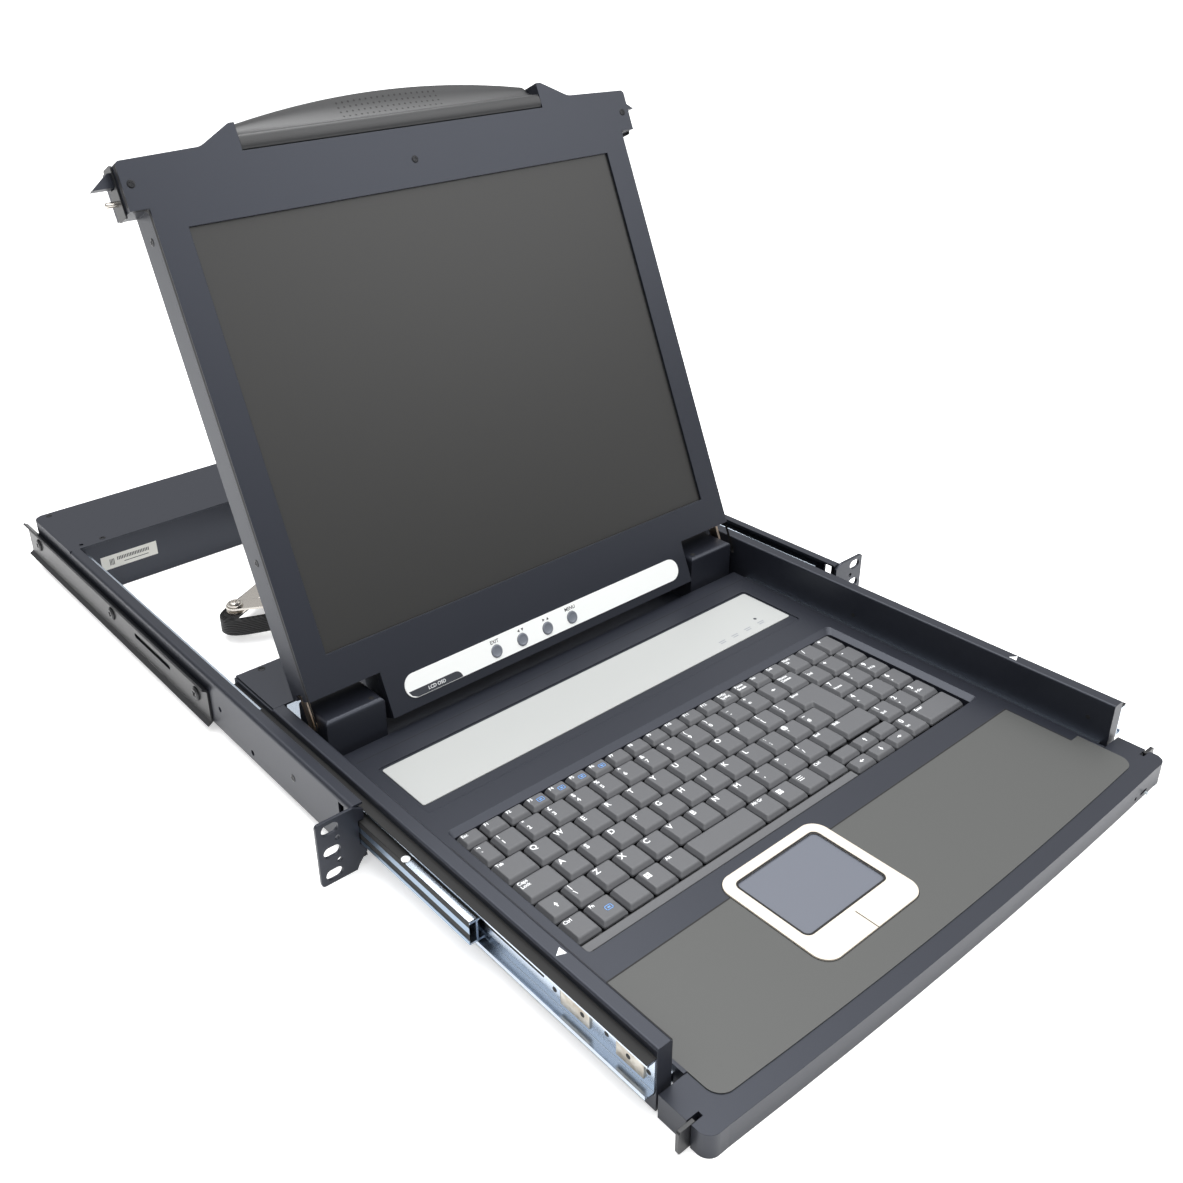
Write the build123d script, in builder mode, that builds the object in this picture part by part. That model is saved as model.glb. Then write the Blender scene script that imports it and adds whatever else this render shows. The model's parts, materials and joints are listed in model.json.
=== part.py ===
from build123d import *
from math import cos, radians, sin
import os

os.makedirs("parts", exist_ok=True)

# Frame: x across the rack, y from the rack ears to the rear, z up from the underside.
# The drawer is shown fully out, with the display tilted up.

# general sizes
overrun = 4.0
fit_gap = 0.15
sheet = 1.5
thin_sheet = 1.2
bend_radius = 1.4

# rack ears and chassis
ear_half_width = 241.3
rack_height = 43.66
ear_thickness = 2.0
ear_foot = 23.3
ear_chamfer = 25.1
ear_chamfer_z = 3.2
ear_throat = 29.8
ear_throat_z = 9.4
ear_window = 26.8
ear_top_step = 24.0
ear_top_step_z = 40.3
ear_corner_radius = 2.4
slot_inset = 8.75
slot_x = ear_half_width - slot_inset
slot_middle_z = 21.83
slot_pitch = 15.875
slot_length = 11.0
slot_width = 7.0
pin_hole_inset = 4.25
pin_hole_radius = 1.6
pin_hole_pitch = 15.9
rail_inset = 23.65
rail_outer = ear_half_width - rail_inset
rail_inner = rail_outer - sheet
ear_lip = 7.15
ear_inner = rail_outer - ear_lip
rail_bottom = 5.0
rail_top = 43.6
rail_flange = 8.15
notch_start = 9.0
notch_length = 6.0
notch_bottom = 28.0
notch_top = 40.0
rail_screw_z = 24.7
rail_holes = (122.8, 164.7)
rail_hole_radius = 2.0

# rear box
box_front = 419.0
box_rear = 502.5
box_corner = 9.0
lid_skirt = 6.0
screw_inset = 12.0
cover_screw_radius = 1.7
board_half = 95.0
board_depth = 52.0
board_thickness = 1.6
board_height = 8.0
boss_radius = 3.0
inlet_x = -120.0
inlet_width = 27.0
inlet_height = 20.0
port_x = 40.0
port_width = 31.0
port_height = 12.5
port_lift = 20.0
port_depth = 16.0
port_wall = 1.5
flange_margin = 4.0
flange_thickness = 1.2

# adjustable rear brackets outside the chassis
bracket_front = 179.0
bracket_rear = 517.0
bracket_bottom = 5.0
bracket_top = 35.0
bracket_offset = 0.1
bracket_bend = 2.2
bracket_lip = 2.6
bracket_screw_y = (197.0, 340.0, 493.0)
bracket_screw_z = 22.0
truss_radius = 5.2
truss_height = 1.9
truss_chamfer = 1.2
bracket_slot = 60.0

# console frame that travels in the chassis
slide_space = 13.85
wall_width = 9.4
wall_outer = rail_inner - slide_space
wall_inner = wall_outer - wall_width
wall_top = 41.4
wall_bottom = 2.0
wall_front = -224.9
wall_rear = 170.0

# three-member ball slides, profile sizes across and up
slide_centre = 25.0
slide_front = -224.7
slide_drawer_rear = 170.0
slide_half = 11.0
slide_depth = 6.0
slide_web = 1.2
slide_bend = 1.4
slide_turn = 1.7
mid_inset = 4.1
mid_half = slide_half - mid_inset
mid_depth = 4.55
mid_web = 1.2
mid_front = -103.0
mid_rear = 287.0
fixed_front = 20.0
fixed_rear = 416.0
retainer_inset = 2.6
retainer_half = slide_half - retainer_inset
retainer_web = 0.6
retainer_reach = 4.0
retainer_front = 30.0
retainer_rear = 150.0
latch_plate_starts = (-183.0, -219.0, -162.0)
latch_plate_lengths = (20.7, 18.0, 122.0)
latch_plate_heights = (11.0, 11.0, 7.0)
latch_hole_inset = 8.0
latch_hole_radius = 2.4

# hinge
lean = 23.8
hinge_y = 97.1
hinge_z = 33.0
hinge_back = 14.0
hinge_drop = 41.9
hinge_pin_radius = 3.0
pin_clearance = 0.05
knuckle_radius = 6.0
cover_side_gap = 8.5
cover_width = 43.4
cover_outer_x = wall_inner - cover_side_gap
cover_inner_x = cover_outer_x - cover_width
cover_front = 82.5
cover_rear = 116.5
cover_bottom = 5.3
cover_wall = 1.4
deck_front = 119.0
deck_floor_front = 80.5
deck_edge = 1.3
deck_half = wall_outer - deck_edge
deck_screw_inset = 8.9
deck_screw_x = wall_inner - deck_screw_inset
deck_screw_y = 166.0

# keyboard module
tray_side_gap = 6.5
tray_half = wall_inner - tray_side_gap
pan_inset = 2.2
pan_half = tray_half - pan_inset
pan_rear = 78.0
pan_wall = 8.4
block_overhang = 0.4
block_half = wall_outer + block_overhang
block_rear = -226.6
block_top = 15.0
block_side_y = -257.5
block_nose_y = -261.0
block_nose_inset = 12.7
block_nose_half = block_half - block_nose_inset
block_corner = 7.0
block_light_inset = 25.7
block_light_x = block_half - block_light_inset
block_light_half = 4.0
block_light_z = 4.1
block_light_height = 2.0
block_hole_inset = 36.0
block_hole_x = block_half - block_hole_inset
block_hole_radius = 1.3
tray_top = 15.6
tray_rear = 79.0
tray_skirt = 7.0
inlay_rear = -164.5
inlay_side_inset = 9.8
inlay_side = tray_half - inlay_side_inset
inlay_shoulder = -210.0
inlay_front_inset = 2.1
inlay_front_half = tray_half - inlay_front_inset
inlay_front_side = -246.2
inlay_front_nose = -250.3
inlay_corner = 9.0
inlay_thickness = 0.6
block_roof = 1.8
plate_half = 166.45
plate_front = 5.9
plate_rear = 50.8
recess_half = 168.5
recess_front = -2.5
recess_rear = 53.1
recess_depth = 0.9
led_x = 144.0
led_y = 20.0
led_radius = 1.3
well_left = -170.5
well_right = 170.0
well_front = -145.0
well_rear = -27.5
well_depth = 5.4
well_bevel = 5.0
well_corner = 3.0
bar_left = -169.0
bar_right = 52.0
bar_front = -143.0
bar_rear = -137.0
keys_base = 10.6
key_height = 3.6
key_taper = 16.0
key_travel = 2.5
board_under_z = 3.2
board_under_left = 60.0
board_under_right = 160.0
board_under_front = -15.0
board_under_rear = 50.0
guide_front = -221.0
guide_rear = 70.0
guide_centre = 9.0
guide_half = 4.4
guide_web = 1.0
guide_lip = 4.5

# touchpad
bezel_left = -86.7
bezel_right = -4.5
bezel_front = -229.0
bezel_rear = -153.0
bezel_corner = 10.0
pad_left = -78.75
pad_right = -12.0
pad_front = -210.0
pad_rear = -159.75
pad_corner = 4.0
bezel_lift = 0.9
button_rear = -213.5
button_split = -46.0
button_travel = 0.4

# catches
fin_y = -245.3
fin_thickness = 2.0
fin_overhang = 7.1
fin_reach = block_half + fin_overhang
fin_bottom = 0.6
fin_top = 14.6
fin_fillet = 3.0
fin_root = 7.0
catch_travel = 4.0
fin_slot_gap = 0.4

# display
panel_side_gap = 3.9
panel_half = wall_inner - panel_side_gap
panel_bottom = -56.0
notch_width = 51.5
notch_inner_x = panel_half - notch_width
notch_d = -24.2
ear_d = 285.0
panel_ear = 12.0
ear_x = panel_half + panel_ear
panel_ear_height = 29.5
panel_top = ear_d + panel_ear_height
grip_half = 120.0
grip_sink = 4.3
grip_floor = panel_top - grip_sink
crown_run = 26.3
crown_foot = 1.7
crown_rise = 13.3
crown_shelf = 4.0
crown_start_x = grip_half + crown_run
crown_start_d = panel_top + crown_foot
crown_end_x = grip_half + crown_shelf
crown_end_d = panel_top + crown_rise
crown_start_radius = 12.0
crown_end_radius = 6.0
panel_thickness = 24.7
parting = 6.0
panel_wall = 1.8
panel_corner = 3.0
screen_half = 169.1
screen_top = 271.0
screen_edge = 5.0
screen_thickness = 9.0
lcd_board_half = 110.0
lcd_board_low = 80.0
lcd_board_high = 190.0
lcd_board_depth = 17.0
osd_left = -124.0
osd_right = 127.0
osd_low = -49.5
osd_high = -33.0
osd_thickness = 0.6
osd_button_x = (-49.0, -26.3, -3.5, 19.3)
osd_button_d = -43.0
osd_button_radius = 4.5
osd_button_lift = 1.3
osd_button_tail = 4.0
lip_height = 10.4
grip_lip = grip_floor + lip_height
grip_end_rise = 1.2
grip_end = crown_end_d + grip_end_rise
grip_arch = 11.0
grip_middle = grip_end + grip_arch
grip_front_gap = 0.4
lip_roll = 2.4
grip_wall = 1.6
catch_drop = 13.0
catch_height = 6.5
catch_low = panel_top - catch_drop
catch_high = catch_low + catch_height
catch_overhang = 12.0
catch_reach = ear_x + catch_overhang
catch_back = 9.0
catch_depth = 6.0
catch_root = 12.0
bolt_drop = 21.5
bolt_d = panel_top - bolt_drop
bolt_radius = 1.3
bolt_overhang = 9.0
bolt_reach = ear_x + bolt_overhang
bolt_back = 12.0
bracket_drop = 31.5
bracket_low = panel_top - bracket_drop
bracket_wall = 1.2
leaf_high = 10.0
leaf_thickness = 2.0
leaf_half_width = 4.0

# cable arm behind the display
arm_x = 60.0
arm_rear_y = 402.0
arm_front_y = 164.0
arm_rear_z = 20.0
arm_front_z = 24.0
arm_slack = 4.45
arm_side = 205.0
arm_width = 14.0
arm_thickness = 1.5
arm_pin = 3.0
arm_open_clearance = 2.6
arm_foot_z = 12.0
arm_foot_half = 12.0
rivet_radius = 6.0
rivet_height = 1.5
sleeve_height = 13.0
sleeve_thickness = 4.0
sleeve_loop = 11.0
sleeve_end = 22.0

# chassis rail with its rack ear
rail_flange_edge = rail_outer - rail_flange
rail_length = box_front - ear_thickness
box_half = rail_outer
window_x = ear_half_width - ear_window
window_low = slide_centre - mid_half - sheet
window_high = slide_centre + mid_half + sheet
pin_hole_x = slot_x - pin_hole_inset

with BuildPart() as rail:
    with BuildSketch(Plane.XZ) as ear_outline:
        with BuildLine():
            Polyline(
                (ear_half_width, 0), (ear_half_width - ear_foot, 0),
                (ear_half_width - ear_chamfer, ear_chamfer_z), (ear_half_width - ear_throat, ear_throat_z),
                (ear_inner, ear_throat_z), (ear_inner, window_low),
                (window_x, window_low), (window_x, window_high), (ear_inner, window_high),
                (ear_inner, ear_top_step_z), (ear_half_width - ear_top_step, rack_height),
                (ear_half_width, rack_height), close=True)
        make_face()
        fillet(ear_outline.vertices().group_by(Axis.X)[-1], ear_corner_radius)
        with Locations(
                (slot_x, slot_middle_z - slot_pitch), (slot_x, slot_middle_z),
                (slot_x, slot_middle_z + slot_pitch)):
            SlotOverall(slot_length, slot_width, mode=Mode.SUBTRACT)
        with Locations(
                (pin_hole_x, slot_middle_z - pin_hole_pitch / 2),
                (pin_hole_x, slot_middle_z + pin_hole_pitch / 2)):
            Circle(pin_hole_radius, mode=Mode.SUBTRACT)
    extrude(amount=-ear_thickness)
    with BuildSketch(Plane.XZ.offset(-ear_thickness)):
        with BuildLine():
            FilletPolyline(
                (rail_flange_edge, rail_bottom), (rail_outer, rail_bottom),
                (rail_outer, rail_top), (rail_flange_edge, rail_top), radius=bend_radius + sheet)
            offset(amount=sheet, side=Side.LEFT)
        make_face()
    extrude(amount=-rail_length)
    with BuildSketch(Plane.YZ.offset(rail_inner - overrun)):
        with Locations((notch_start + notch_length / 2, (notch_bottom + notch_top) / 2)):
            Rectangle(notch_length, notch_top - notch_bottom)
        with Locations((rail_holes[0], rail_bottom + rail_flange), (rail_holes[1], rail_screw_z)):
            Circle(rail_hole_radius)
    extrude(amount=2 * overrun, mode=Mode.SUBTRACT)

rail_right = rail.part
rail_right.label = "rail_right"
export_step(rail_right, "parts/rail_right.step")
rail_left = mirror(rail.part, about=Plane.YZ)
rail_left.label = "rail_left"
export_step(rail_left, "parts/rail_left.step")

# rear box, an open sheet tray that joins the two rails
box_middle = (box_front + box_rear) / 2
box_length = box_rear - box_front
inlet_z = port_lift + sheet

with BuildPart() as rear_box:
    with BuildSketch() as box_outline:
        with Locations((0, box_middle)):
            Rectangle(2 * box_half, box_length)
        fillet(box_outline.vertices().group_by(Axis.Y)[-1], box_corner)
    extrude(amount=rail_top - sheet)
    offset(amount=-sheet, openings=rear_box.faces().sort_by(Axis.Z)[-1])
    with BuildSketch(Plane.XZ.offset(-box_rear)):
        with Locations((inlet_x, inlet_z)):
            Rectangle(inlet_width, inlet_height)
        with Locations((port_x, inlet_z)):
            Rectangle(port_width, port_height)
    extrude(amount=overrun, both=True, mode=Mode.SUBTRACT)
    with BuildSketch(Plane.XY.offset(sheet)):
        with GridLocations(2 * board_half - screw_inset, board_depth - screw_inset, 2, 2):
            with Locations((0, box_middle)):
                Circle(boss_radius)
    extrude(amount=board_height)
    with BuildSketch(Plane.XY.offset(arm_foot_z)):
        with Locations((arm_x, (arm_rear_y - arm_foot_half + box_front + sheet) / 2)):
            Rectangle(2 * arm_foot_half, box_front + sheet - arm_rear_y + arm_foot_half)
    extrude(amount=sheet)
    with BuildSketch(Plane.XY.offset(arm_foot_z)):
        with Locations((arm_x, arm_rear_y)):
            Circle(arm_pin)
    extrude(amount=arm_rear_z + arm_thickness - arm_foot_z + fit_gap)
rear_box.part.label = "rear_box"
export_step(rear_box.part, "parts/rear_box.step")

with BuildPart() as rear_cover:
    with BuildSketch(Plane.XY.offset(rail_top - sheet)) as cover_outline:
        with Locations((0, box_middle)):
            Rectangle(2 * box_half, box_length)
        fillet(cover_outline.vertices().group_by(Axis.Y)[-1], box_corner)
        with Locations((0, box_middle)):
            with GridLocations(2 * (box_half - screw_inset), box_length - screw_inset, 2, 2):
                Circle(cover_screw_radius, mode=Mode.SUBTRACT)
    extrude(amount=sheet)
    with BuildSketch(Plane.XY.offset(rail_top - sheet)) as skirt_outline:
        with Locations((0, box_middle)):
            Rectangle(2 * (box_half - 2 * sheet), box_length - 2 * (sheet + fit_gap))
            Rectangle(2 * (box_half - 2 * sheet), box_length - 2 * (2 * sheet + fit_gap), mode=Mode.SUBTRACT)
            Rectangle(2 * (box_half - 2 * screw_inset), box_length, mode=Mode.INTERSECT)
    extrude(amount=-lid_skirt)
rear_cover.part.label = "rear_cover"
export_step(rear_cover.part, "parts/rear_cover.step")

board_top = sheet + board_height + board_thickness
with BuildPart() as rear_board:
    with BuildSketch(Plane.XY.offset(sheet + board_height)):
        with Locations((0, box_middle)):
            Rectangle(2 * board_half, board_depth)
    extrude(amount=board_thickness)
    with BuildSketch(Plane.XY.offset(board_top)):
        with Locations((-board_half / 2, box_middle)):
            Rectangle(board_depth, board_depth / 2)
        with Locations((board_half / 2, box_middle)):
            Rectangle(board_depth / 2, board_depth / 2)
    extrude(amount=board_height)
rear_board.part.label = "rear_board"
export_step(rear_board.part, "parts/rear_board.step")


def panelSocket(centre, width, height):
    """A hollow socket through the rear wall, with a flange on the outside."""
    with BuildPart() as socket:
        with BuildSketch(Plane.XZ.offset(-box_rear)):
            with Locations((centre, inlet_z)):
                RectangleRounded(width + 2 * flange_margin, height + flange_margin, flange_margin / 2)
        extrude(amount=-flange_thickness)
        with BuildSketch(Plane.XZ.offset(-box_rear)):
            with Locations((centre, inlet_z)):
                Rectangle(width - 2 * fit_gap, height - 2 * fit_gap)
        extrude(amount=port_depth)
        with BuildSketch(Plane.XZ.offset(-box_rear - flange_thickness)):
            with Locations((centre, inlet_z)):
                Rectangle(width - 2 * port_wall, height - 2 * port_wall)
        extrude(amount=port_depth, mode=Mode.SUBTRACT)
    return socket


with BuildPart() as rear_ports:
    add(panelSocket(inlet_x, inlet_width, inlet_height).part)
    add(panelSocket(port_x, port_width, port_height).part)
rear_ports.part.label = "rear_ports"
export_step(rear_ports.part, "parts/rear_ports.step")

# rear brackets: grooved channels with a slot for their screws
bracket_inner = rail_outer + bracket_offset
bracket_outer = bracket_inner + sheet

with BuildPart() as rear_brackets:
    with BuildSketch(Plane.XZ.offset(-bracket_front)):
        with BuildLine():
            FilletPolyline(
                (bracket_outer + bracket_lip, bracket_bottom), (bracket_inner, bracket_bottom + bracket_lip),
                (bracket_inner, bracket_top - bracket_lip), (bracket_outer + bracket_lip, bracket_top),
                radius=bracket_bend)
            offset(amount=sheet, side=Side.RIGHT)
        make_face()
    extrude(amount=-(bracket_rear - bracket_front))
    with BuildSketch(Plane.YZ.offset(bracket_inner - overrun)):
        with Locations([(y, bracket_screw_z) for y in bracket_screw_y]):
            Circle(rail_hole_radius + fit_gap)
        with Locations(((bracket_screw_y[0] + bracket_screw_y[1]) / 2, bracket_screw_z)):
            SlotOverall(bracket_slot, 2 * rail_hole_radius)
    extrude(amount=2 * overrun, mode=Mode.SUBTRACT)
    mirror(about=Plane.YZ)
rear_brackets.part.label = "rear_brackets"
export_step(rear_brackets.part, "parts/rear_brackets.step")

with BuildPart() as bracket_screws:
    for screw_y in bracket_screw_y:
        with Locations(Location((bracket_outer, screw_y, bracket_screw_z), (0, 90, 0))):
            Cylinder(truss_radius, truss_height, align=(Align.CENTER, Align.CENTER, Align.MIN))
            Cylinder(
                rail_hole_radius, bracket_outer - rail_outer, align=(Align.CENTER, Align.CENTER, Align.MAX))
    chamfer(bracket_screws.edges().group_by(Axis.X)[-1], truss_chamfer)
    mirror(about=Plane.YZ)
bracket_screws.part.label = "bracket_screws"
export_step(bracket_screws.part, "parts/bracket_screws.step")


# ball slides
def slideChannel(web_x, towards, front, rear):
    """An outer member: a channel whose lips turn in to hold the balls."""
    lip_x = web_x + towards * slide_depth
    with BuildPart() as member:
        with BuildSketch(Plane.XZ.offset(-front)):
            with BuildLine():
                FilletPolyline(
                    (lip_x, slide_centre - slide_half + slide_turn), (lip_x, slide_centre - slide_half),
                    (web_x, slide_centre - slide_half), (web_x, slide_centre + slide_half),
                    (lip_x, slide_centre + slide_half), (lip_x, slide_centre + slide_half - slide_turn),
                    radius=slide_bend)
                offset(amount=slide_web, side=Side.RIGHT if towards > 0 else Side.LEFT)
            make_face()
        extrude(amount=-(rear - front))
        mirror(about=Plane.YZ)
    return member


slide_fixed = slideChannel(rail_inner, -1, fixed_front, fixed_rear)
slide_fixed.part.label = "slide_fixed"
export_step(slide_fixed.part, "parts/slide_fixed.step")

slide_drawer = slideChannel(wall_outer, 1, slide_front, slide_drawer_rear)
slide_drawer.part.label = "slide_drawer"
export_step(slide_drawer.part, "parts/slide_drawer.step")

slide_middle_x = (wall_outer + rail_inner) / 2
with BuildPart() as slide_middle:
    with BuildSketch(Plane.XZ.offset(-mid_front)):
        with Locations((slide_middle_x, slide_centre)):
            Rectangle(mid_web, 2 * mid_half)
        with Locations((slide_middle_x, slide_centre - mid_half), (slide_middle_x, slide_centre + mid_half)):
            Rectangle(2 * mid_depth, mid_web)
    extrude(amount=-(mid_rear - mid_front))
    mirror(about=Plane.YZ)
slide_middle.part.label = "slide_middle"
export_step(slide_middle.part, "parts/slide_middle.step")


def ballRetainer(web_x, towards, front, rear):
    """A thin pressed strip that keeps the balls spaced between two members."""
    reach_x = web_x + towards * retainer_reach
    with BuildPart() as strip:
        with BuildSketch(Plane.XZ.offset(-front)):
            with BuildLine():
                Polyline(
                    (reach_x, slide_centre - retainer_half), (web_x, slide_centre - retainer_half),
                    (web_x, slide_centre + retainer_half), (reach_x, slide_centre + retainer_half))
                offset(amount=retainer_web, side=Side.RIGHT if towards > 0 else Side.LEFT)
            make_face()
        extrude(amount=-(rear - front))
        mirror(about=Plane.YZ)
    return strip


retainer_gap = slide_web + 2 * fit_gap
retainer_outer = ballRetainer(wall_outer + retainer_gap, 1, retainer_front, retainer_rear)
retainer_outer.part.label = "ball_retainer_front"
export_step(retainer_outer.part, "parts/ball_retainer_front.step")

retainer_length = retainer_rear - retainer_front
retainer_inner = ballRetainer(
    rail_inner - retainer_gap, -1, mid_rear - 2 * retainer_length, mid_rear - retainer_length)
retainer_inner.part.label = "ball_retainer_rear"
export_step(retainer_inner.part, "parts/ball_retainer_rear.step")

with BuildPart() as latch_plates:
    for start, length, height in zip(latch_plate_starts, latch_plate_lengths, latch_plate_heights):
        with BuildSketch(Plane.YZ.offset(wall_outer + slide_web)):
            with Locations((start + length / 2, slide_centre)):
                Rectangle(length, height)
            with Locations((start + latch_hole_inset, slide_centre)):
                Circle(latch_hole_radius, mode=Mode.SUBTRACT)
        extrude(amount=thin_sheet)
    mirror(about=Plane.YZ)
latch_plates.part.label = "latch_plates"
export_step(latch_plates.part, "parts/latch_plates.step")


# hollow side walls of the console
def consoleWall():
    """A folded hollow channel, open underneath, with a closed front end."""
    with BuildPart() as wall:
        with BuildSketch(Plane.XZ.offset(-wall_front)):
            with BuildLine():
                FilletPolyline(
                    (wall_inner, wall_bottom), (wall_inner, wall_top), (wall_outer, wall_top),
                    (wall_outer, wall_bottom), radius=bend_radius)
                offset(amount=thin_sheet, side=Side.RIGHT)
            make_face()
        extrude(amount=-(wall_rear - wall_front))
        with BuildSketch(Plane.XZ.offset(-wall_front)):
            with Locations(((wall_inner + wall_outer) / 2, (wall_bottom + wall_top) / 2)):
                Rectangle(wall_outer - wall_inner - thin_sheet, wall_top - wall_bottom - thin_sheet)
        extrude(amount=-thin_sheet)
        with BuildSketch(Plane.XY.offset(wall_top - thin_sheet)):
            with Locations(((wall_inner + wall_outer) / 2, (deck_front - fit_gap + wall_rear) / 2)):
                Rectangle(wall_outer - wall_inner + overrun, wall_rear - deck_front + fit_gap)
        extrude(amount=overrun, mode=Mode.SUBTRACT)
    return wall


wall_right = consoleWall().part
wall_right.label = "wall_right"
export_step(wall_right, "parts/wall_right.step")
wall_left = mirror(wall_right, about=Plane.YZ)
wall_left.label = "wall_left"
export_step(wall_left, "parts/wall_left.step")

# rear deck joins the walls behind the hinge
deck_side = wall_inner - fit_gap
with BuildPart() as rear_deck:
    with BuildSketch(Plane.XZ.offset(-deck_front)):
        with BuildLine():
            FilletPolyline(
                (-deck_side, wall_bottom), (-deck_side, wall_top), (deck_side, wall_top),
                (deck_side, wall_bottom), radius=bend_radius)
            offset(amount=thin_sheet, side=Side.RIGHT)
        make_face()
    extrude(amount=-(wall_rear - deck_front))
    with BuildSketch(Plane.XY.offset(wall_top - thin_sheet)):
        with Locations((0, (deck_front + wall_rear) / 2)):
            Rectangle(2 * deck_half, wall_rear - deck_front)
    extrude(amount=thin_sheet)
    with BuildSketch(Plane.XY.offset(wall_top)):
        with Locations((-deck_screw_x, deck_screw_y), (deck_screw_x, deck_screw_y)):
            Circle(cover_screw_radius)
    extrude(amount=-overrun, mode=Mode.SUBTRACT)
    with BuildSketch(Plane.XY.offset(wall_bottom)):
        with Locations((0, (deck_floor_front + wall_rear) / 2)):
            Rectangle(2 * deck_side, wall_rear - deck_floor_front)
    extrude(amount=thin_sheet)
    with BuildSketch(Plane.XY.offset(wall_top - thin_sheet)):
        with Locations((arm_x, arm_front_y - arm_slack / 2)):
            Circle(arm_pin)
    extrude(amount=-(wall_top - thin_sheet - arm_front_z + fit_gap))
rear_deck.part.label = "rear_deck"
export_step(rear_deck.part, "parts/rear_deck.step")

# hinge covers: rounded caps over each hinge
cover_middle_x = (cover_inner_x + cover_outer_x) / 2
cover_depth = cover_rear - cover_front
with BuildPart() as hinge_covers:
    with BuildSketch(Plane.XY.offset(cover_bottom)):
        with Locations((cover_middle_x, cover_front + cover_depth / 2)):
            Rectangle(cover_width, cover_depth)
    extrude(amount=wall_top - cover_bottom)
    cover_top = hinge_covers.faces().sort_by(Axis.Z)[-1]
    fillet(cover_top.edges(), bend_radius * 2)
    offset(amount=-cover_wall, openings=hinge_covers.faces().sort_by(Axis.Z)[0])
    with BuildSketch(Plane.YZ.offset(cover_outer_x - 2 * cover_wall)):
        with Locations((hinge_y, hinge_z)):
            Circle(hinge_pin_radius + fit_gap)
        with Locations((hinge_y, (hinge_z + cover_bottom) / 2)):
            Rectangle(2 * (hinge_pin_radius + fit_gap), hinge_z - cover_bottom)
    extrude(amount=3 * cover_wall, mode=Mode.SUBTRACT)
    mirror(about=Plane.YZ)
hinge_covers.part.label = "hinge_covers"
export_step(hinge_covers.part, "parts/hinge_covers.step")

hinge_plate_z = wall_bottom + thin_sheet

# fixed hinge brackets: an upright with the friction barrel, on a foot
bracket_x = cover_outer_x - 2 * cover_wall
barrel_inner_x = cover_inner_x + 2 * cover_wall
with BuildPart() as hinge_brackets:
    with BuildSketch(Plane.XY.offset(hinge_plate_z)):
        with Locations((cover_middle_x, (cover_front + wall_rear) / 2)):
            Rectangle(cover_width - 4 * cover_wall, wall_rear - cover_front - 2 * cover_wall)
    extrude(amount=leaf_thickness)
    with BuildSketch(Plane.YZ.offset(bracket_x)):
        with BuildLine():
            Polyline(
                (cover_front + 3 * cover_wall, hinge_plate_z),
                (cover_front + 3 * cover_wall, hinge_plate_z + knuckle_radius),
                (hinge_y - knuckle_radius, hinge_z), (hinge_y + knuckle_radius, hinge_z),
                (cover_rear - 2 * cover_wall, hinge_plate_z), close=True)
        make_face()
        with Locations((hinge_y, hinge_z)):
            Circle(knuckle_radius)
    extrude(amount=-leaf_thickness)
    with BuildSketch(Plane.YZ.offset(bracket_x - leaf_thickness)):
        with Locations((hinge_y, hinge_z)):
            Circle(knuckle_radius)
    extrude(amount=-(bracket_x - leaf_thickness - barrel_inner_x))
    with BuildSketch(Plane.YZ.offset(bracket_x + overrun)):
        with Locations((hinge_y, hinge_z)):
            Circle(hinge_pin_radius + pin_clearance)
    extrude(amount=-(bracket_x + 2 * overrun - barrel_inner_x), mode=Mode.SUBTRACT)
    mirror(about=Plane.YZ)
hinge_brackets.part.label = "hinge_brackets"
export_step(hinge_brackets.part, "parts/hinge_brackets.step")


# short guides that carry the keyboard module between the walls
def guideChannel(web_x, towards, half, front, rear):
    """A small channel of the keyboard guide, lips towards its mate."""
    lip_x = web_x + towards * guide_lip
    with BuildPart() as channel:
        with BuildSketch(Plane.XZ.offset(-front)):
            with BuildLine():
                Polyline(
                    (lip_x, guide_centre - half), (web_x, guide_centre - half),
                    (web_x, guide_centre + half), (lip_x, guide_centre + half))
                offset(amount=guide_web, side=Side.RIGHT if towards > 0 else Side.LEFT)
            make_face()
        extrude(amount=-(rear - front))
        mirror(about=Plane.YZ)
    return channel


guide_inner_half = guide_half - guide_web - fit_gap
guide_outer = guideChannel(wall_inner, -1, guide_half, guide_front, guide_rear)
guide_outer.part.label = "keyboard_guide_outer"
export_step(guide_outer.part, "parts/keyboard_guide_outer.step")
guide_inner = guideChannel(tray_half, 1, guide_inner_half, guide_front, guide_rear)
guide_inner.part.label = "keyboard_guide_inner"
export_step(guide_inner.part, "parts/keyboard_guide_inner.step")

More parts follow.
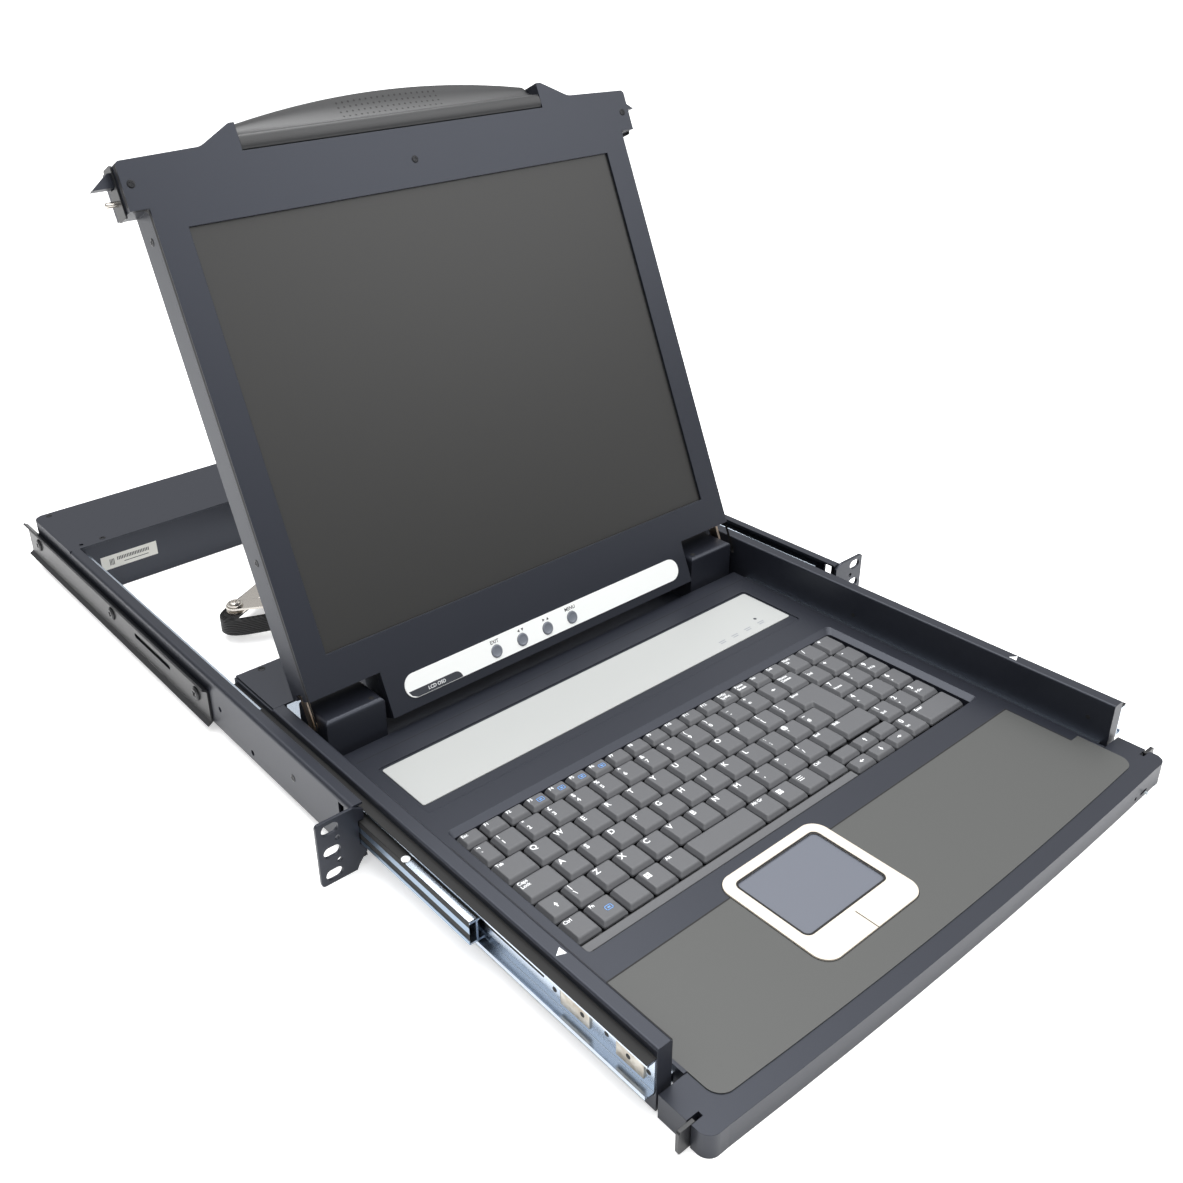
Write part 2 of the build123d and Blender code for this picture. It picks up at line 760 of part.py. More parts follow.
# bottom pan with the front block of the keyboard module
block_middle_y = (block_rear + block_side_y) / 2
fin_slot = fin_thickness + 2 * fin_slot_gap
with BuildPart() as bottom_pan:
    with BuildSketch():
        with Locations((0, (pan_rear + block_rear) / 2)):
            Rectangle(2 * pan_half, pan_rear - block_rear)
    extrude(amount=pan_wall)
    with BuildSketch(Plane.XY.offset(thin_sheet)):
        with Locations((0, (pan_rear + block_rear) / 2)):
            Rectangle(2 * (pan_half - thin_sheet), pan_rear - block_rear - 2 * thin_sheet)
    extrude(amount=pan_wall, mode=Mode.SUBTRACT)
    with BuildSketch() as block_outline:
        with BuildLine():
            side_edge = Polyline(
                (block_nose_half, block_side_y), (block_half, block_side_y), (block_half, block_rear),
                (-block_half, block_rear), (-block_half, block_side_y), (-block_nose_half, block_side_y))
            ThreePointArc((-block_nose_half, block_side_y), (0, block_nose_y), (block_nose_half, block_side_y))
        make_face()
        corner_points = block_outline.vertices().filter_by_position(
            Axis.Y, block_side_y - fit_gap, block_side_y + fit_gap)
        fillet(corner_points.group_by(Axis.X)[0] + corner_points.group_by(Axis.X)[-1], block_corner)
    extrude(amount=block_top)
    with BuildSketch(Plane.XY.offset(thin_sheet)):
        with Locations((0, block_middle_y)):
            Rectangle(2 * (block_nose_half - block_corner), block_rear - block_side_y - 2 * thin_sheet)
    extrude(amount=block_top - block_roof - thin_sheet, mode=Mode.SUBTRACT)
    with BuildSketch(Plane.XY.offset(thin_sheet)):
        with Locations((0, block_rear)):
            Rectangle(2 * (pan_half - block_corner), 2 * overrun)
    extrude(amount=pan_wall - thin_sheet, mode=Mode.SUBTRACT)
    with BuildSketch(Plane.YZ.offset(block_half - fin_root - fin_slot_gap)):
        with Locations((fin_y, (fin_bottom + fin_top) / 2)):
            Rectangle(fin_slot, fin_top - fin_bottom + fin_slot)
    extrude(amount=fin_root + overrun, mode=Mode.SUBTRACT)
    with BuildSketch(Plane.YZ.offset(-block_half + fin_root + fin_slot_gap)):
        with Locations((fin_y, (fin_bottom + fin_top) / 2)):
            Rectangle(fin_slot, fin_top - fin_bottom + fin_slot)
    extrude(amount=-fin_root - overrun, mode=Mode.SUBTRACT)
    with BuildSketch(Plane.XZ.offset(-block_nose_y)):
        with Locations((block_light_x, block_light_z)):
            Rectangle(2 * block_light_half, block_light_height)
        with Locations((block_hole_x, block_light_z)):
            Circle(block_hole_radius)
    extrude(amount=-(block_side_y - block_nose_y + overrun), mode=Mode.SUBTRACT)
bottom_pan.part.label = "bottom_pan"
export_step(bottom_pan.part, "parts/bottom_pan.step")

# tray cover: top sheet, skirt, touchpad bed and the sunken keyboard well
tray_front = block_rear + fit_gap
pan_middle = (tray_rear + tray_front) / 2
well_middle_x = (well_left + well_right) / 2
well_middle_y = (well_front + well_rear) / 2
well_width = well_right - well_left
well_length = well_rear - well_front


def bezelOutline(inset):
    """Rounded outline of the touchpad bezel, made smaller by the inset."""
    with BuildSketch() as outline:
        with Locations(((bezel_left + bezel_right) / 2, (bezel_front + bezel_rear) / 2)):
            RectangleRounded(
                bezel_right - bezel_left - 2 * inset, bezel_rear - bezel_front - 2 * inset,
                bezel_corner - inset)
    return outline.sketch


def inlayOutline(inset):
    """Outline of the palm rest film, with a bowed front edge."""
    with BuildSketch() as outline:
        with BuildLine():
            Polyline(
                (inlay_front_half, inlay_front_side), (inlay_front_half, inlay_shoulder),
                (inlay_side, inlay_shoulder), (inlay_side, inlay_rear), (-inlay_side, inlay_rear),
                (-inlay_side, inlay_shoulder), (-inlay_front_half, inlay_shoulder),
                (-inlay_front_half, inlay_front_side))
            ThreePointArc(
                (-inlay_front_half, inlay_front_side), (0, inlay_front_nose),
                (inlay_front_half, inlay_front_side))
        make_face()
        fillet(outline.vertices().group_by(Axis.Y)[0], inlay_corner)
        add(bezelOutline(-inset), mode=Mode.SUBTRACT)
    return outline.sketch


with BuildPart() as tray_cover:
    with BuildSketch(Plane.XY.offset(tray_top)):
        with Locations((0, pan_middle)):
            Rectangle(2 * tray_half, tray_rear - tray_front)
    extrude(amount=-tray_skirt)
    with BuildSketch(Plane.XY.offset(tray_top - panel_wall)):
        with Locations((0, pan_middle)):
            Rectangle(2 * (tray_half - thin_sheet), tray_rear - tray_front - 2 * thin_sheet)
        with Locations((well_middle_x + well_bevel / 2, well_middle_y + well_bevel / 2)):
            Rectangle(well_width + 3 * well_bevel, well_length + 3 * well_bevel, mode=Mode.SUBTRACT)
    extrude(amount=-tray_skirt, mode=Mode.SUBTRACT)
    with BuildSketch(Plane.XY.offset(tray_top)):
        with Locations((well_middle_x, well_middle_y)):
            RectangleRounded(well_width, well_length, well_corner)
    extrude(amount=-tray_skirt, mode=Mode.SUBTRACT)
    with BuildSketch(Plane.XY.offset(tray_top)):
        with Locations((well_middle_x + well_bevel / 2, well_middle_y + well_bevel / 2)):
            RectangleRounded(well_width + well_bevel, well_length + well_bevel, well_corner)
    with BuildSketch(Plane.XY.offset(tray_top - well_bevel / 2)):
        with Locations((well_middle_x, well_middle_y)):
            RectangleRounded(well_width, well_length, well_corner)
    loft(mode=Mode.SUBTRACT)
    with BuildSketch(Plane.XY.offset(tray_top)):
        with Locations((0, (recess_front + recess_rear) / 2)):
            RectangleRounded(2 * recess_half, recess_rear - recess_front, well_corner)
    extrude(amount=-recess_depth, mode=Mode.SUBTRACT)
    with BuildSketch(Plane.XY.offset(tray_top)):
        with Locations((0, (inlay_rear + tray_front) / 2)):
            Rectangle(2 * inlay_side, inlay_rear - tray_front)
        with Locations((0, (inlay_shoulder + tray_front) / 2)):
            Rectangle(2 * inlay_front_half, inlay_shoulder - tray_front)
        add(bezelOutline(0))
    extrude(amount=-inlay_thickness, mode=Mode.SUBTRACT)
tray_cover.part.label = "tray_cover"
export_step(tray_cover.part, "parts/tray_cover.step")

with BuildPart() as palm_inlay:
    with BuildSketch(Plane.XY.offset(block_top)):
        add(inlayOutline(fit_gap))
    extrude(amount=inlay_thickness)
palm_inlay.part.label = "palm_inlay"
export_step(palm_inlay.part, "parts/palm_inlay.step")

with BuildPart() as status_plate:
    with BuildSketch(Plane.XY.offset(tray_top - recess_depth)):
        with Locations((0, (plate_front + plate_rear) / 2)):
            RectangleRounded(2 * plate_half, plate_rear - plate_front, sheet)
        with Locations((led_x, led_y)):
            Circle(led_radius, mode=Mode.SUBTRACT)
    extrude(amount=inlay_thickness)
status_plate.part.label = "status_plate"
export_step(status_plate.part, "parts/status_plate.step")

# keys: every row is a run of caps whose widths are shares of the key pitch
key_pitch = 19.05
keys_left = -168.75
keys_rear = -27.0
keys_share = 14.74
function_depth = 13.0
arrow_rear = -117.7
arrow_depth = 12.25
numpad_left = 111.9
numpad_pitch = 18.7
key_margin = 0.7
function_keys = 17
numpad_rows = 5
stem_width = 4.0
number_shares = (0.76,) + (1.0,) * 12 + (0.93, 1.05)
upper_shares = (1.25,) + (1.0,) * 11 + (0.93,)
home_shares = (1.48,) + (1.0,) * 11 + (1.1,)
lower_shares = (0.97,) + (1.0,) * 11 + (0.98, 1.79)
bottom_left_shares = (0.95, 1.0, 1.0, 1.0, 1.0)
bottom_right_shares = (1.0, 1.0, 1.0, 1.0)
space_share = 2.77
enter_step_share = 0.395
number_rear = keys_rear - function_depth
keys_width = keys_share * key_pitch
space_left = keys_left + sum(bottom_left_shares) * key_pitch
space_right = space_left + space_share * key_pitch
bottom_rear = number_rear - 4 * key_pitch
arrow_left = space_right + sum(bottom_right_shares) * key_pitch
arrow_width = (keys_left + keys_width - arrow_left) / 3


def keyCaps(left, rear, depth, widths):
    """Rectangles for a row of caps from left to right, drawn into the open sketch."""
    start = left
    for width in widths:
        with Locations((start + width / 2, rear - depth / 2)):
            Rectangle(width - 2 * key_margin, depth - 2 * key_margin)
        start += width


def inPitches(shares):
    """Row widths in millimetres from their shares of the pitch."""
    return [share * key_pitch for share in shares]


def stemCentres(rows):
    """Centres of the stems under the caps of these rows."""
    centres = []
    for left, rear, depth, widths in rows:
        start = left
        for width in widths:
            centres.append((start + width / 2, rear - depth / 2))
            start += width
    return centres


# the enter key spans two rows, wider at the top
enter_left = keys_left + sum(upper_shares) * key_pitch
enter_right = keys_left + keys_width
enter_low_left = enter_left + enter_step_share * key_pitch
upper_rear = number_rear - key_pitch
numpad_end_rear = keys_rear - numpad_rows * key_pitch

key_rows = {
    "keys_function": [(keys_left, keys_rear, function_depth, [keys_width / function_keys] * function_keys)],
    "keys_number": [(keys_left, number_rear, key_pitch, inPitches(number_shares))],
    "keys_upper": [
        (keys_left, upper_rear, key_pitch, inPitches(upper_shares)),
        (enter_left, upper_rear, key_pitch, [enter_right - enter_left]),
        (enter_low_left, upper_rear, 2 * key_pitch, [enter_right - enter_low_left])],
    "keys_home": [(keys_left, upper_rear - key_pitch, key_pitch, inPitches(home_shares))],
    "keys_lower": [(keys_left, upper_rear - 2 * key_pitch, key_pitch, inPitches(lower_shares))],
    "keys_bottom": [
        (keys_left, bottom_rear, key_pitch, inPitches(bottom_left_shares)),
        (space_right, bottom_rear, key_pitch, inPitches(bottom_right_shares))],
    "space_bar": [(space_left, bottom_rear, key_pitch, [space_share * key_pitch])],
    "keys_arrow": [
        (arrow_left, arrow_rear, arrow_depth, [arrow_width] * 3),
        (arrow_left, arrow_rear - arrow_depth, arrow_depth, [arrow_width] * 3)],
    "keys_numpad": [
        (numpad_left, keys_rear - row * key_pitch, key_pitch, [numpad_pitch] * 3) for row in range(numpad_rows)]
    + [(numpad_left, numpad_end_rear, key_pitch, [numpad_pitch, 2 * numpad_pitch])],
}

plate_top = keys_base - key_travel - fit_gap
stem_length = keys_base - plate_top + thin_sheet
for keys_name, rows in key_rows.items():
    with BuildPart() as keys:
        with BuildSketch(Plane.XY.offset(keys_base)):
            for row in rows:
                keyCaps(*row)
        extrude(amount=key_height, taper=key_taper)
        with BuildSketch(Plane.XY.offset(keys_base)):
            with Locations(stemCentres(rows)):
                Rectangle(stem_width, stem_width)
        extrude(amount=-stem_length)
    keys.part.label = keys_name
    export_step(keys.part, "parts/" + keys_name + ".step")

# keyboard plate under the well, with the guides of the stems and the frame bar
plate_rim = tray_top - tray_skirt
with BuildPart() as keyboard_plate:
    with BuildSketch(Plane.XY.offset(plate_top - thin_sheet)):
        with Locations((well_middle_x, well_middle_y)):
            Rectangle(well_width + well_bevel, well_length + well_bevel)
    extrude(amount=thin_sheet)
    with BuildSketch(Plane.XY.offset(plate_top)):
        with Locations((well_middle_x, well_middle_y)):
            Rectangle(well_width + well_bevel, well_length + well_bevel)
            Rectangle(well_width, well_length, mode=Mode.SUBTRACT)
    extrude(amount=plate_rim - plate_top)
    with BuildSketch(Plane.XY.offset(plate_top)):
        with Locations(((bar_left + bar_right) / 2, (bar_front + bar_rear) / 2)):
            Rectangle(bar_right - bar_left, bar_rear - bar_front)
    extrude(amount=keys_base + key_travel - plate_top)
    with BuildSketch(Plane.XY.offset(plate_top)):
        for rows in key_rows.values():
            with Locations(stemCentres(rows)):
                Rectangle(stem_width + 2 * fit_gap, stem_width + 2 * fit_gap)
    extrude(amount=-thin_sheet, mode=Mode.SUBTRACT)
keyboard_plate.part.label = "keyboard_plate"
export_step(keyboard_plate.part, "parts/keyboard_plate.step")

# touchpad: a raised bezel whose front part is split into two buttons
bezel_height = inlay_thickness + bezel_lift
with BuildPart() as touchpad_bezel:
    with BuildSketch(Plane.XY.offset(block_top)):
        add(bezelOutline(0))
        with Locations(((pad_left + pad_right) / 2, (pad_front + pad_rear) / 2)):
            RectangleRounded(pad_right - pad_left, pad_rear - pad_front, pad_corner, mode=Mode.SUBTRACT)
        with Locations(((bezel_left + bezel_right) / 2, (button_rear + bezel_front) / 2)):
            Rectangle(bezel_right - bezel_left, button_rear - bezel_front, mode=Mode.SUBTRACT)
    extrude(amount=bezel_height)
touchpad_bezel.part.label = "touchpad_bezel"
export_step(touchpad_bezel.part, "parts/touchpad_bezel.step")

with BuildPart() as touchpad:
    with BuildSketch(Plane.XY.offset(block_top)):
        with Locations(((pad_left + pad_right) / 2, (pad_front + pad_rear) / 2)):
            RectangleRounded(
                pad_right - pad_left - 2 * fit_gap, pad_rear - pad_front - 2 * fit_gap, pad_corner - fit_gap)
    extrude(amount=inlay_thickness)
touchpad.part.label = "touchpad"
export_step(touchpad.part, "parts/touchpad.step")


def touchButton(left, right):
    """One button: the front part of the bezel between two sides, above its travel gap."""
    with BuildPart() as button:
        with BuildSketch(Plane.XY.offset(block_top + button_travel + fit_gap)):
            add(bezelOutline(0))
            with Locations(((left + right) / 2, (button_rear - fit_gap + bezel_front) / 2)):
                Rectangle(right - left, button_rear - fit_gap - bezel_front, mode=Mode.INTERSECT)
        extrude(amount=bezel_height - button_travel - fit_gap)
    return button


touch_button_left = touchButton(bezel_left, button_split - fit_gap)
touch_button_left.part.label = "touch_button_left"
export_step(touch_button_left.part, "parts/touch_button_left.step")
touch_button_right = touchButton(button_split + fit_gap, bezel_right)
touch_button_right.part.label = "touch_button_right"
export_step(touch_button_right.part, "parts/touch_button_right.step")

# keyboard controller board on spacers in the pan
board_under_middle = ((board_under_left + board_under_right) / 2, (board_under_front + board_under_rear) / 2)
with BuildPart() as control_board:
    with BuildSketch(Plane.XY.offset(board_under_z)):
        with Locations(board_under_middle):
            Rectangle(board_under_right - board_under_left, board_under_rear - board_under_front)
    extrude(amount=board_thickness)
    with BuildSketch(Plane.XY.offset(thin_sheet)):
        with Locations(board_under_middle):
            with GridLocations(
                    board_under_right - board_under_left - screw_inset,
                    board_under_rear - board_under_front - screw_inset, 2, 2):
                Circle(boss_radius)
    extrude(amount=board_under_z - thin_sheet)
control_board.part.label = "control_board"
export_step(control_board.part, "parts/control_board.step")

# keyboard catches: sprung fins that reach out past the block
fin_root_x = block_half - fin_root
with BuildPart() as keyboard_catch:
    with BuildSketch(Plane.XZ.offset(-fin_y - fin_thickness / 2)) as fin_outline:
        with BuildLine():
            Polyline(
                (fin_root_x + catch_travel, fin_bottom), (fin_reach, fin_bottom),
                (fin_reach, fin_top), (fin_root_x + catch_travel, fin_top), close=True)
        make_face()
        fillet(fin_outline.vertices().group_by(Axis.X)[-1], fin_fillet / 2)
    extrude(amount=fin_thickness)
keyboard_catch_right = keyboard_catch.part
keyboard_catch_right.label = "keyboard_catch_right"
export_step(keyboard_catch_right, "parts/keyboard_catch_right.step")
keyboard_catch_left = mirror(keyboard_catch.part, about=Plane.YZ)
keyboard_catch_left.label = "keyboard_catch_left"
export_step(keyboard_catch_left, "parts/keyboard_catch_left.step")

# display, drawn in the plane of its front face: across, up the screen, and depth behind
lean_sin = sin(radians(lean))
lean_cos = cos(radians(lean))
panel_origin = (
    0,
    hinge_y + hinge_drop * lean_sin - hinge_back * lean_cos,
    hinge_z + hinge_drop * lean_cos + hinge_back * lean_sin)
panel_face = Plane(origin=panel_origin, x_dir=(1, 0, 0), z_dir=(0, -lean_cos, lean_sin))
panel_side = Plane(origin=panel_origin, x_dir=(0, lean_sin, lean_cos), z_dir=(1, 0, 0))
hinge_d = -hinge_drop


def panelOutline(inset):
    """Front outline of the display housing, made smaller by the inset."""
    with BuildSketch() as outline:
        with BuildLine():
            Polyline(
                (0, panel_bottom), (notch_inner_x, panel_bottom), (notch_inner_x, notch_d),
                (panel_half, notch_d), (panel_half, ear_d), (ear_x, ear_d), (ear_x, panel_top),
                (crown_start_x, crown_start_d), (crown_end_x, crown_end_d), (grip_half, crown_end_d),
                (grip_half, grip_floor), (0, grip_floor))
            mirror(about=Plane.YZ)
        make_face()
        if inset > 0:
            offset(amount=-inset, kind=Kind.INTERSECTION)
        else:
            sharp = outline.vertices().filter_by(lambda point: abs(point.X) > panel_half)
            fillet(sharp.sort_by(Axis.Y)[-2:], panel_corner)
            for corner_x, corner_d, corner_radius in (
                    (crown_start_x, crown_start_d, crown_start_radius),
                    (crown_end_x, crown_end_d, crown_end_radius)):
                for side in (-1, 1):
                    fillet(outline.vertices().sort_by_distance((side * corner_x, corner_d))[0], corner_radius)
    return outline.sketch


leaf_outer = panel_half - panel_wall
leaf_inner = leaf_outer - leaf_thickness

with BuildPart() as lcd_bezel:
    with BuildSketch(panel_face):
        add(panelOutline(0))
    extrude(amount=-parting)
    with BuildSketch(panel_face.offset(-panel_wall)):
        add(panelOutline(panel_wall))
    extrude(amount=-parting, mode=Mode.SUBTRACT)
    with BuildSketch(panel_face):
        with Locations((0, screen_top / 2)):
            Rectangle(2 * screen_half, screen_top)
        with Locations([(x, osd_button_d) for x in osd_button_x]):
            Circle(osd_button_radius + fit_gap)
    extrude(amount=-parting, mode=Mode.SUBTRACT)
lcd_bezel.part.label = "lcd_bezel"
export_step(lcd_bezel.part, "parts/lcd_bezel.step")

catch_middle = (catch_low + catch_high) / 2
with BuildPart() as lcd_shell:
    with BuildSketch(panel_face.offset(-parting)):
        add(panelOutline(0))
    extrude(amount=-(panel_thickness - parting))
    with BuildSketch(panel_face.offset(-parting)):
        add(panelOutline(panel_wall))
    extrude(amount=-(panel_thickness - parting - panel_wall), mode=Mode.SUBTRACT)
    with BuildSketch(panel_face.offset(-hinge_back + leaf_half_width + fit_gap)):
        with Locations((leaf_outer, notch_d), (-leaf_outer, notch_d)):
            Rectangle(2 * (leaf_thickness + fit_gap), 2 * overrun)
    extrude(amount=-2 * (leaf_half_width + fit_gap), mode=Mode.SUBTRACT)
    with BuildSketch(panel_face.offset(-catch_back + fit_gap)):
        with Locations((ear_x, catch_middle), (-ear_x, catch_middle)):
            Rectangle(2 * overrun, catch_high - catch_low + 2 * fit_gap)
    extrude(amount=-(catch_depth + 2 * fit_gap), mode=Mode.SUBTRACT)
    with BuildSketch(panel_face.offset(-bolt_back + bolt_radius + fit_gap)):
        with Locations((ear_x, bolt_d), (-ear_x, bolt_d)):
            Rectangle(2 * overrun, 2 * (bolt_radius + fit_gap))
    extrude(amount=-2 * (bolt_radius + fit_gap), mode=Mode.SUBTRACT)
    with BuildSketch(panel_face.offset(-lcd_board_depth)):
        with Locations((0, (lcd_board_low + lcd_board_high) / 2)):
            with GridLocations(
                    2 * lcd_board_half - screw_inset, lcd_board_high - lcd_board_low - screw_inset, 2, 2):
                Circle(boss_radius)
    extrude(amount=-(panel_thickness - lcd_board_depth - panel_wall))
lcd_shell.part.label = "lcd_shell"
export_step(lcd_shell.part, "parts/lcd_shell.step")

with BuildPart() as screen:
    with BuildSketch(panel_face.offset(-panel_wall)):
        with Locations((0, screen_top / 2)):
            Rectangle(2 * (screen_half + screen_edge), screen_top + 2 * screen_edge)
    extrude(amount=-screen_thickness)
screen.part.label = "screen"
export_step(screen.part, "parts/screen.step")

with BuildPart() as lcd_board:
    with BuildSketch(panel_face.offset(-lcd_board_depth)):
        with Locations((0, (lcd_board_low + lcd_board_high) / 2)):
            Rectangle(2 * lcd_board_half, lcd_board_high - lcd_board_low)
    extrude(amount=board_thickness)
lcd_board.part.label = "lcd_board"
export_step(lcd_board.part, "parts/lcd_board.step")

with BuildPart() as osd_plate:
    with BuildSketch(panel_face):
        with Locations(((osd_left + osd_right) / 2, (osd_low + osd_high) / 2)):
            SlotOverall(osd_right - osd_left, osd_high - osd_low)
        with Locations([(x, osd_button_d) for x in osd_button_x]):
            Circle(osd_button_radius + fit_gap, mode=Mode.SUBTRACT)
    extrude(amount=osd_thickness)
osd_plate.part.label = "osd_plate"
export_step(osd_plate.part, "parts/osd_plate.step")

osd_names = ("osd_button_exit", "osd_button_down", "osd_button_up", "osd_button_menu")
for button_name, button_x in zip(osd_names, osd_button_x):
    with BuildPart() as osd_button:
        with BuildSketch(panel_face.offset(osd_button_lift)):
            with Locations((button_x, osd_button_d)):
                Circle(osd_button_radius)
        extrude(amount=-(osd_button_lift + osd_button_tail))
        chamfer(osd_button.faces().sort_by(Axis.Y)[0].edges(), osd_button_lift / 2)
    osd_button.part.label = button_name
    export_step(osd_button.part, "parts/" + button_name + ".step")

# handle: an arched grip with a rounded front lip, in the recess of the top edge
grip_side = grip_half - fit_gap
with BuildPart() as handle:
    with BuildSketch(panel_face.offset(-grip_front_gap)):
        with BuildLine():
            Polyline(
                (grip_side, grip_end), (grip_side, grip_floor + fit_gap),
                (-grip_side, grip_floor + fit_gap), (-grip_side, grip_end))
            ThreePointArc((-grip_side, grip_end), (0, grip_middle), (grip_side, grip_end))
        make_face()
    extrude(amount=-(panel_thickness - grip_front_gap - fit_gap))
    with BuildSketch(panel_side.offset(-grip_half)):
        with BuildLine():
            Polyline(
                (grip_lip, -grip_front_gap + overrun), (grip_lip, -grip_front_gap),
                (grip_lip + lip_roll, -grip_front_gap - lip_roll), (grip_middle, -bolt_back),
                (grip_middle + overrun, -bolt_back),
                (grip_middle + overrun, -grip_front_gap + overrun), close=True)
        make_face()
    extrude(amount=2 * grip_half, mode=Mode.SUBTRACT)
    with BuildSketch(panel_side.offset(-grip_side + grip_wall)):
        with Locations(((grip_floor + grip_lip) / 2, -panel_thickness / 2)):
            Rectangle(grip_lip - grip_floor - 2 * (grip_wall + fit_gap), panel_thickness - 3 * grip_wall)
    extrude(amount=2 * (grip_side - grip_wall), mode=Mode.SUBTRACT)
handle.part.label = "handle"
export_step(handle.part, "parts/handle.step")

with BuildPart() as catch_brackets:
    with BuildSketch(panel_side.offset(ear_x)):
        with Locations(((bracket_low + panel_top) / 2 - fit_gap, -bolt_back)):
            RectangleRounded(panel_top - bracket_low - 2 * fit_gap, catch_root, sheet)
        with Locations((catch_middle, -catch_back - catch_depth / 2)):
            Rectangle(catch_high - catch_low + 2 * fit_gap, catch_depth + 2 * fit_gap, mode=Mode.SUBTRACT)
        with Locations((bolt_d, -bolt_back)):
            Circle(bolt_radius + fit_gap, mode=Mode.SUBTRACT)
    extrude(amount=bracket_wall)
    mirror(about=Plane.YZ)
catch_brackets.part.label = "catch_brackets"
export_step(catch_brackets.part, "parts/catch_brackets.step")

# display catches: a wedge and a bolt on a common carrier in the ear
carrier_inner = ear_x - catch_root
with BuildPart() as lcd_catch:
    with BuildSketch(panel_side.offset(carrier_inner)):
        with Locations(((bolt_d + catch_high) / 2 - bolt_radius / 2, -bolt_back)):
            Rectangle(catch_high - bolt_d + bolt_radius, catch_depth)
    extrude(amount=bracket_wall)
    with BuildSketch(panel_face.offset(-catch_back)):
        with BuildLine():
            Polyline(
                (carrier_inner, catch_low), (catch_reach, catch_low), (catch_reach, catch_middle),
                (ear_x + bracket_wall + sheet, catch_high), (carrier_inner, catch_high), close=True)
        make_face()
    extrude(amount=-catch_depth)
    with BuildSketch(panel_side.offset(carrier_inner)):
        with Locations((bolt_d, -bolt_back)):
            Circle(bolt_radius)
    extrude(amount=bolt_reach - carrier_inner)
lcd_catch_right = lcd_catch.part
lcd_catch_right.label = "lcd_catch_right"
export_step(lcd_catch_right, "parts/lcd_catch_right.step")
lcd_catch_left = mirror(lcd_catch.part, about=Plane.YZ)
lcd_catch_left.label = "lcd_catch_left"
export_step(lcd_catch_left, "parts/lcd_catch_left.step")

# moving hinge leaves with the pins that turn in the barrels
with BuildPart() as hinge_leaves:
    with BuildSketch(panel_side.offset(leaf_inner)):
        with Locations(((hinge_d + leaf_high) / 2, -hinge_back)):
            Rectangle(leaf_high - hinge_d, 2 * leaf_half_width)
        with Locations((hinge_d, -hinge_back)):
            Circle(leaf_half_width)
    extrude(amount=leaf_thickness)
    with BuildSketch(panel_side.offset(barrel_inner_x + cover_wall)):
        with Locations((hinge_d, -hinge_back)):
            Circle(hinge_pin_radius)
    extrude(amount=leaf_inner - barrel_inner_x - cover_wall)
    mirror(about=Plane.YZ)
hinge_leaves.part.label = "hinge_leaves"
export_step(hinge_leaves.part, "parts/hinge_leaves.step")

# cable arm: two equal links, the rear one on the rear box, the front one under the deck
elbow_x = arm_x - arm_side
elbow_y = (arm_rear_y + arm_front_y) / 2
elbow = Vector(elbow_x, elbow_y)
rear_pivot = Vector(arm_x, arm_rear_y)
front_pivot = Vector(arm_x, arm_front_y)
rivet_top = arm_front_z + arm_thickness + pin_clearance


def armLink(end, base_z, end_hole, elbow_hole):
    """A flat link between the elbow and one end, with round ends and pin holes."""
    along = end - elbow
    link_plane = Plane(origin=(elbow.X, elbow.Y, base_z), x_dir=along, z_dir=(0, 0, 1))
    with BuildPart() as link:
        with BuildSketch(link_plane):
            with Locations((along.length / 2, 0)):
                SlotCenterToCenter(along.length, arm_width)
            with Locations((along.length, 0)):
                Circle(end_hole, mode=Mode.SUBTRACT)
            if elbow_hole > 0:
                Circle(elbow_hole, mode=Mode.SUBTRACT)
        extrude(amount=arm_thickness)
    return link


def sleeveStrip(end, base_z):
    """A flat braided sleeve on edge along a link, wrapped round the elbow."""
    along = (end - elbow).normalized()
    strip_plane = Plane(origin=(elbow.X, elbow.Y, base_z), x_dir=along, z_dir=(0, 0, 1))
    turn = 1 if end.Y > elbow.Y else -1
    with BuildPart() as strip:
        with BuildSketch(strip_plane):
            with BuildLine():
                wrap = CenterArc((0, 0), sleeve_loop, turn * 90, turn * 180)
                Line((0, turn * sleeve_loop), (arm_length - sleeve_end, turn * sleeve_thickness))
                offset(amount=sleeve_thickness / 2, side=Side.BOTH)
            make_face()
        extrude(amount=sleeve_height)
    return strip


arm_length = (rear_pivot - elbow).length
with BuildPart() as arm_rear:
    add(armLink(rear_pivot, arm_rear_z, arm_pin + pin_clearance, 0).part)
    with BuildSketch(Plane.XY.offset(arm_rear_z + arm_thickness)):
        with Locations((elbow_x, elbow_y)):
            Circle(arm_pin)
    extrude(amount=rivet_top - arm_rear_z - arm_thickness)
    with BuildSketch(Plane.XY.offset(rivet_top)):
        with Locations((elbow_x, elbow_y)):
            Circle(rivet_radius)
    extrude(amount=rivet_height)
arm_rear.part.label = "arm_rear"
export_step(arm_rear.part, "parts/arm_rear.step")

arm_front = armLink(front_pivot, arm_front_z, arm_pin + arm_open_clearance, arm_pin + pin_clearance)
arm_front.part.label = "arm_front"
export_step(arm_front.part, "parts/arm_front.step")

sleeve_rear = sleeveStrip(rear_pivot, arm_rear_z - fit_gap - sleeve_height)
sleeve_rear.part.label = "sleeve_rear"
export_step(sleeve_rear.part, "parts/sleeve_rear.step")
sleeve_front = sleeveStrip(front_pivot, arm_front_z + arm_thickness + fit_gap)
sleeve_front.part.label = "sleeve_front"
export_step(sleeve_front.part, "parts/sleeve_front.step")
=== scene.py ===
import json
import math

import bmesh
import bpy
from mathutils import Matrix, Vector
from mathutils.geometry import tessellate_polygon


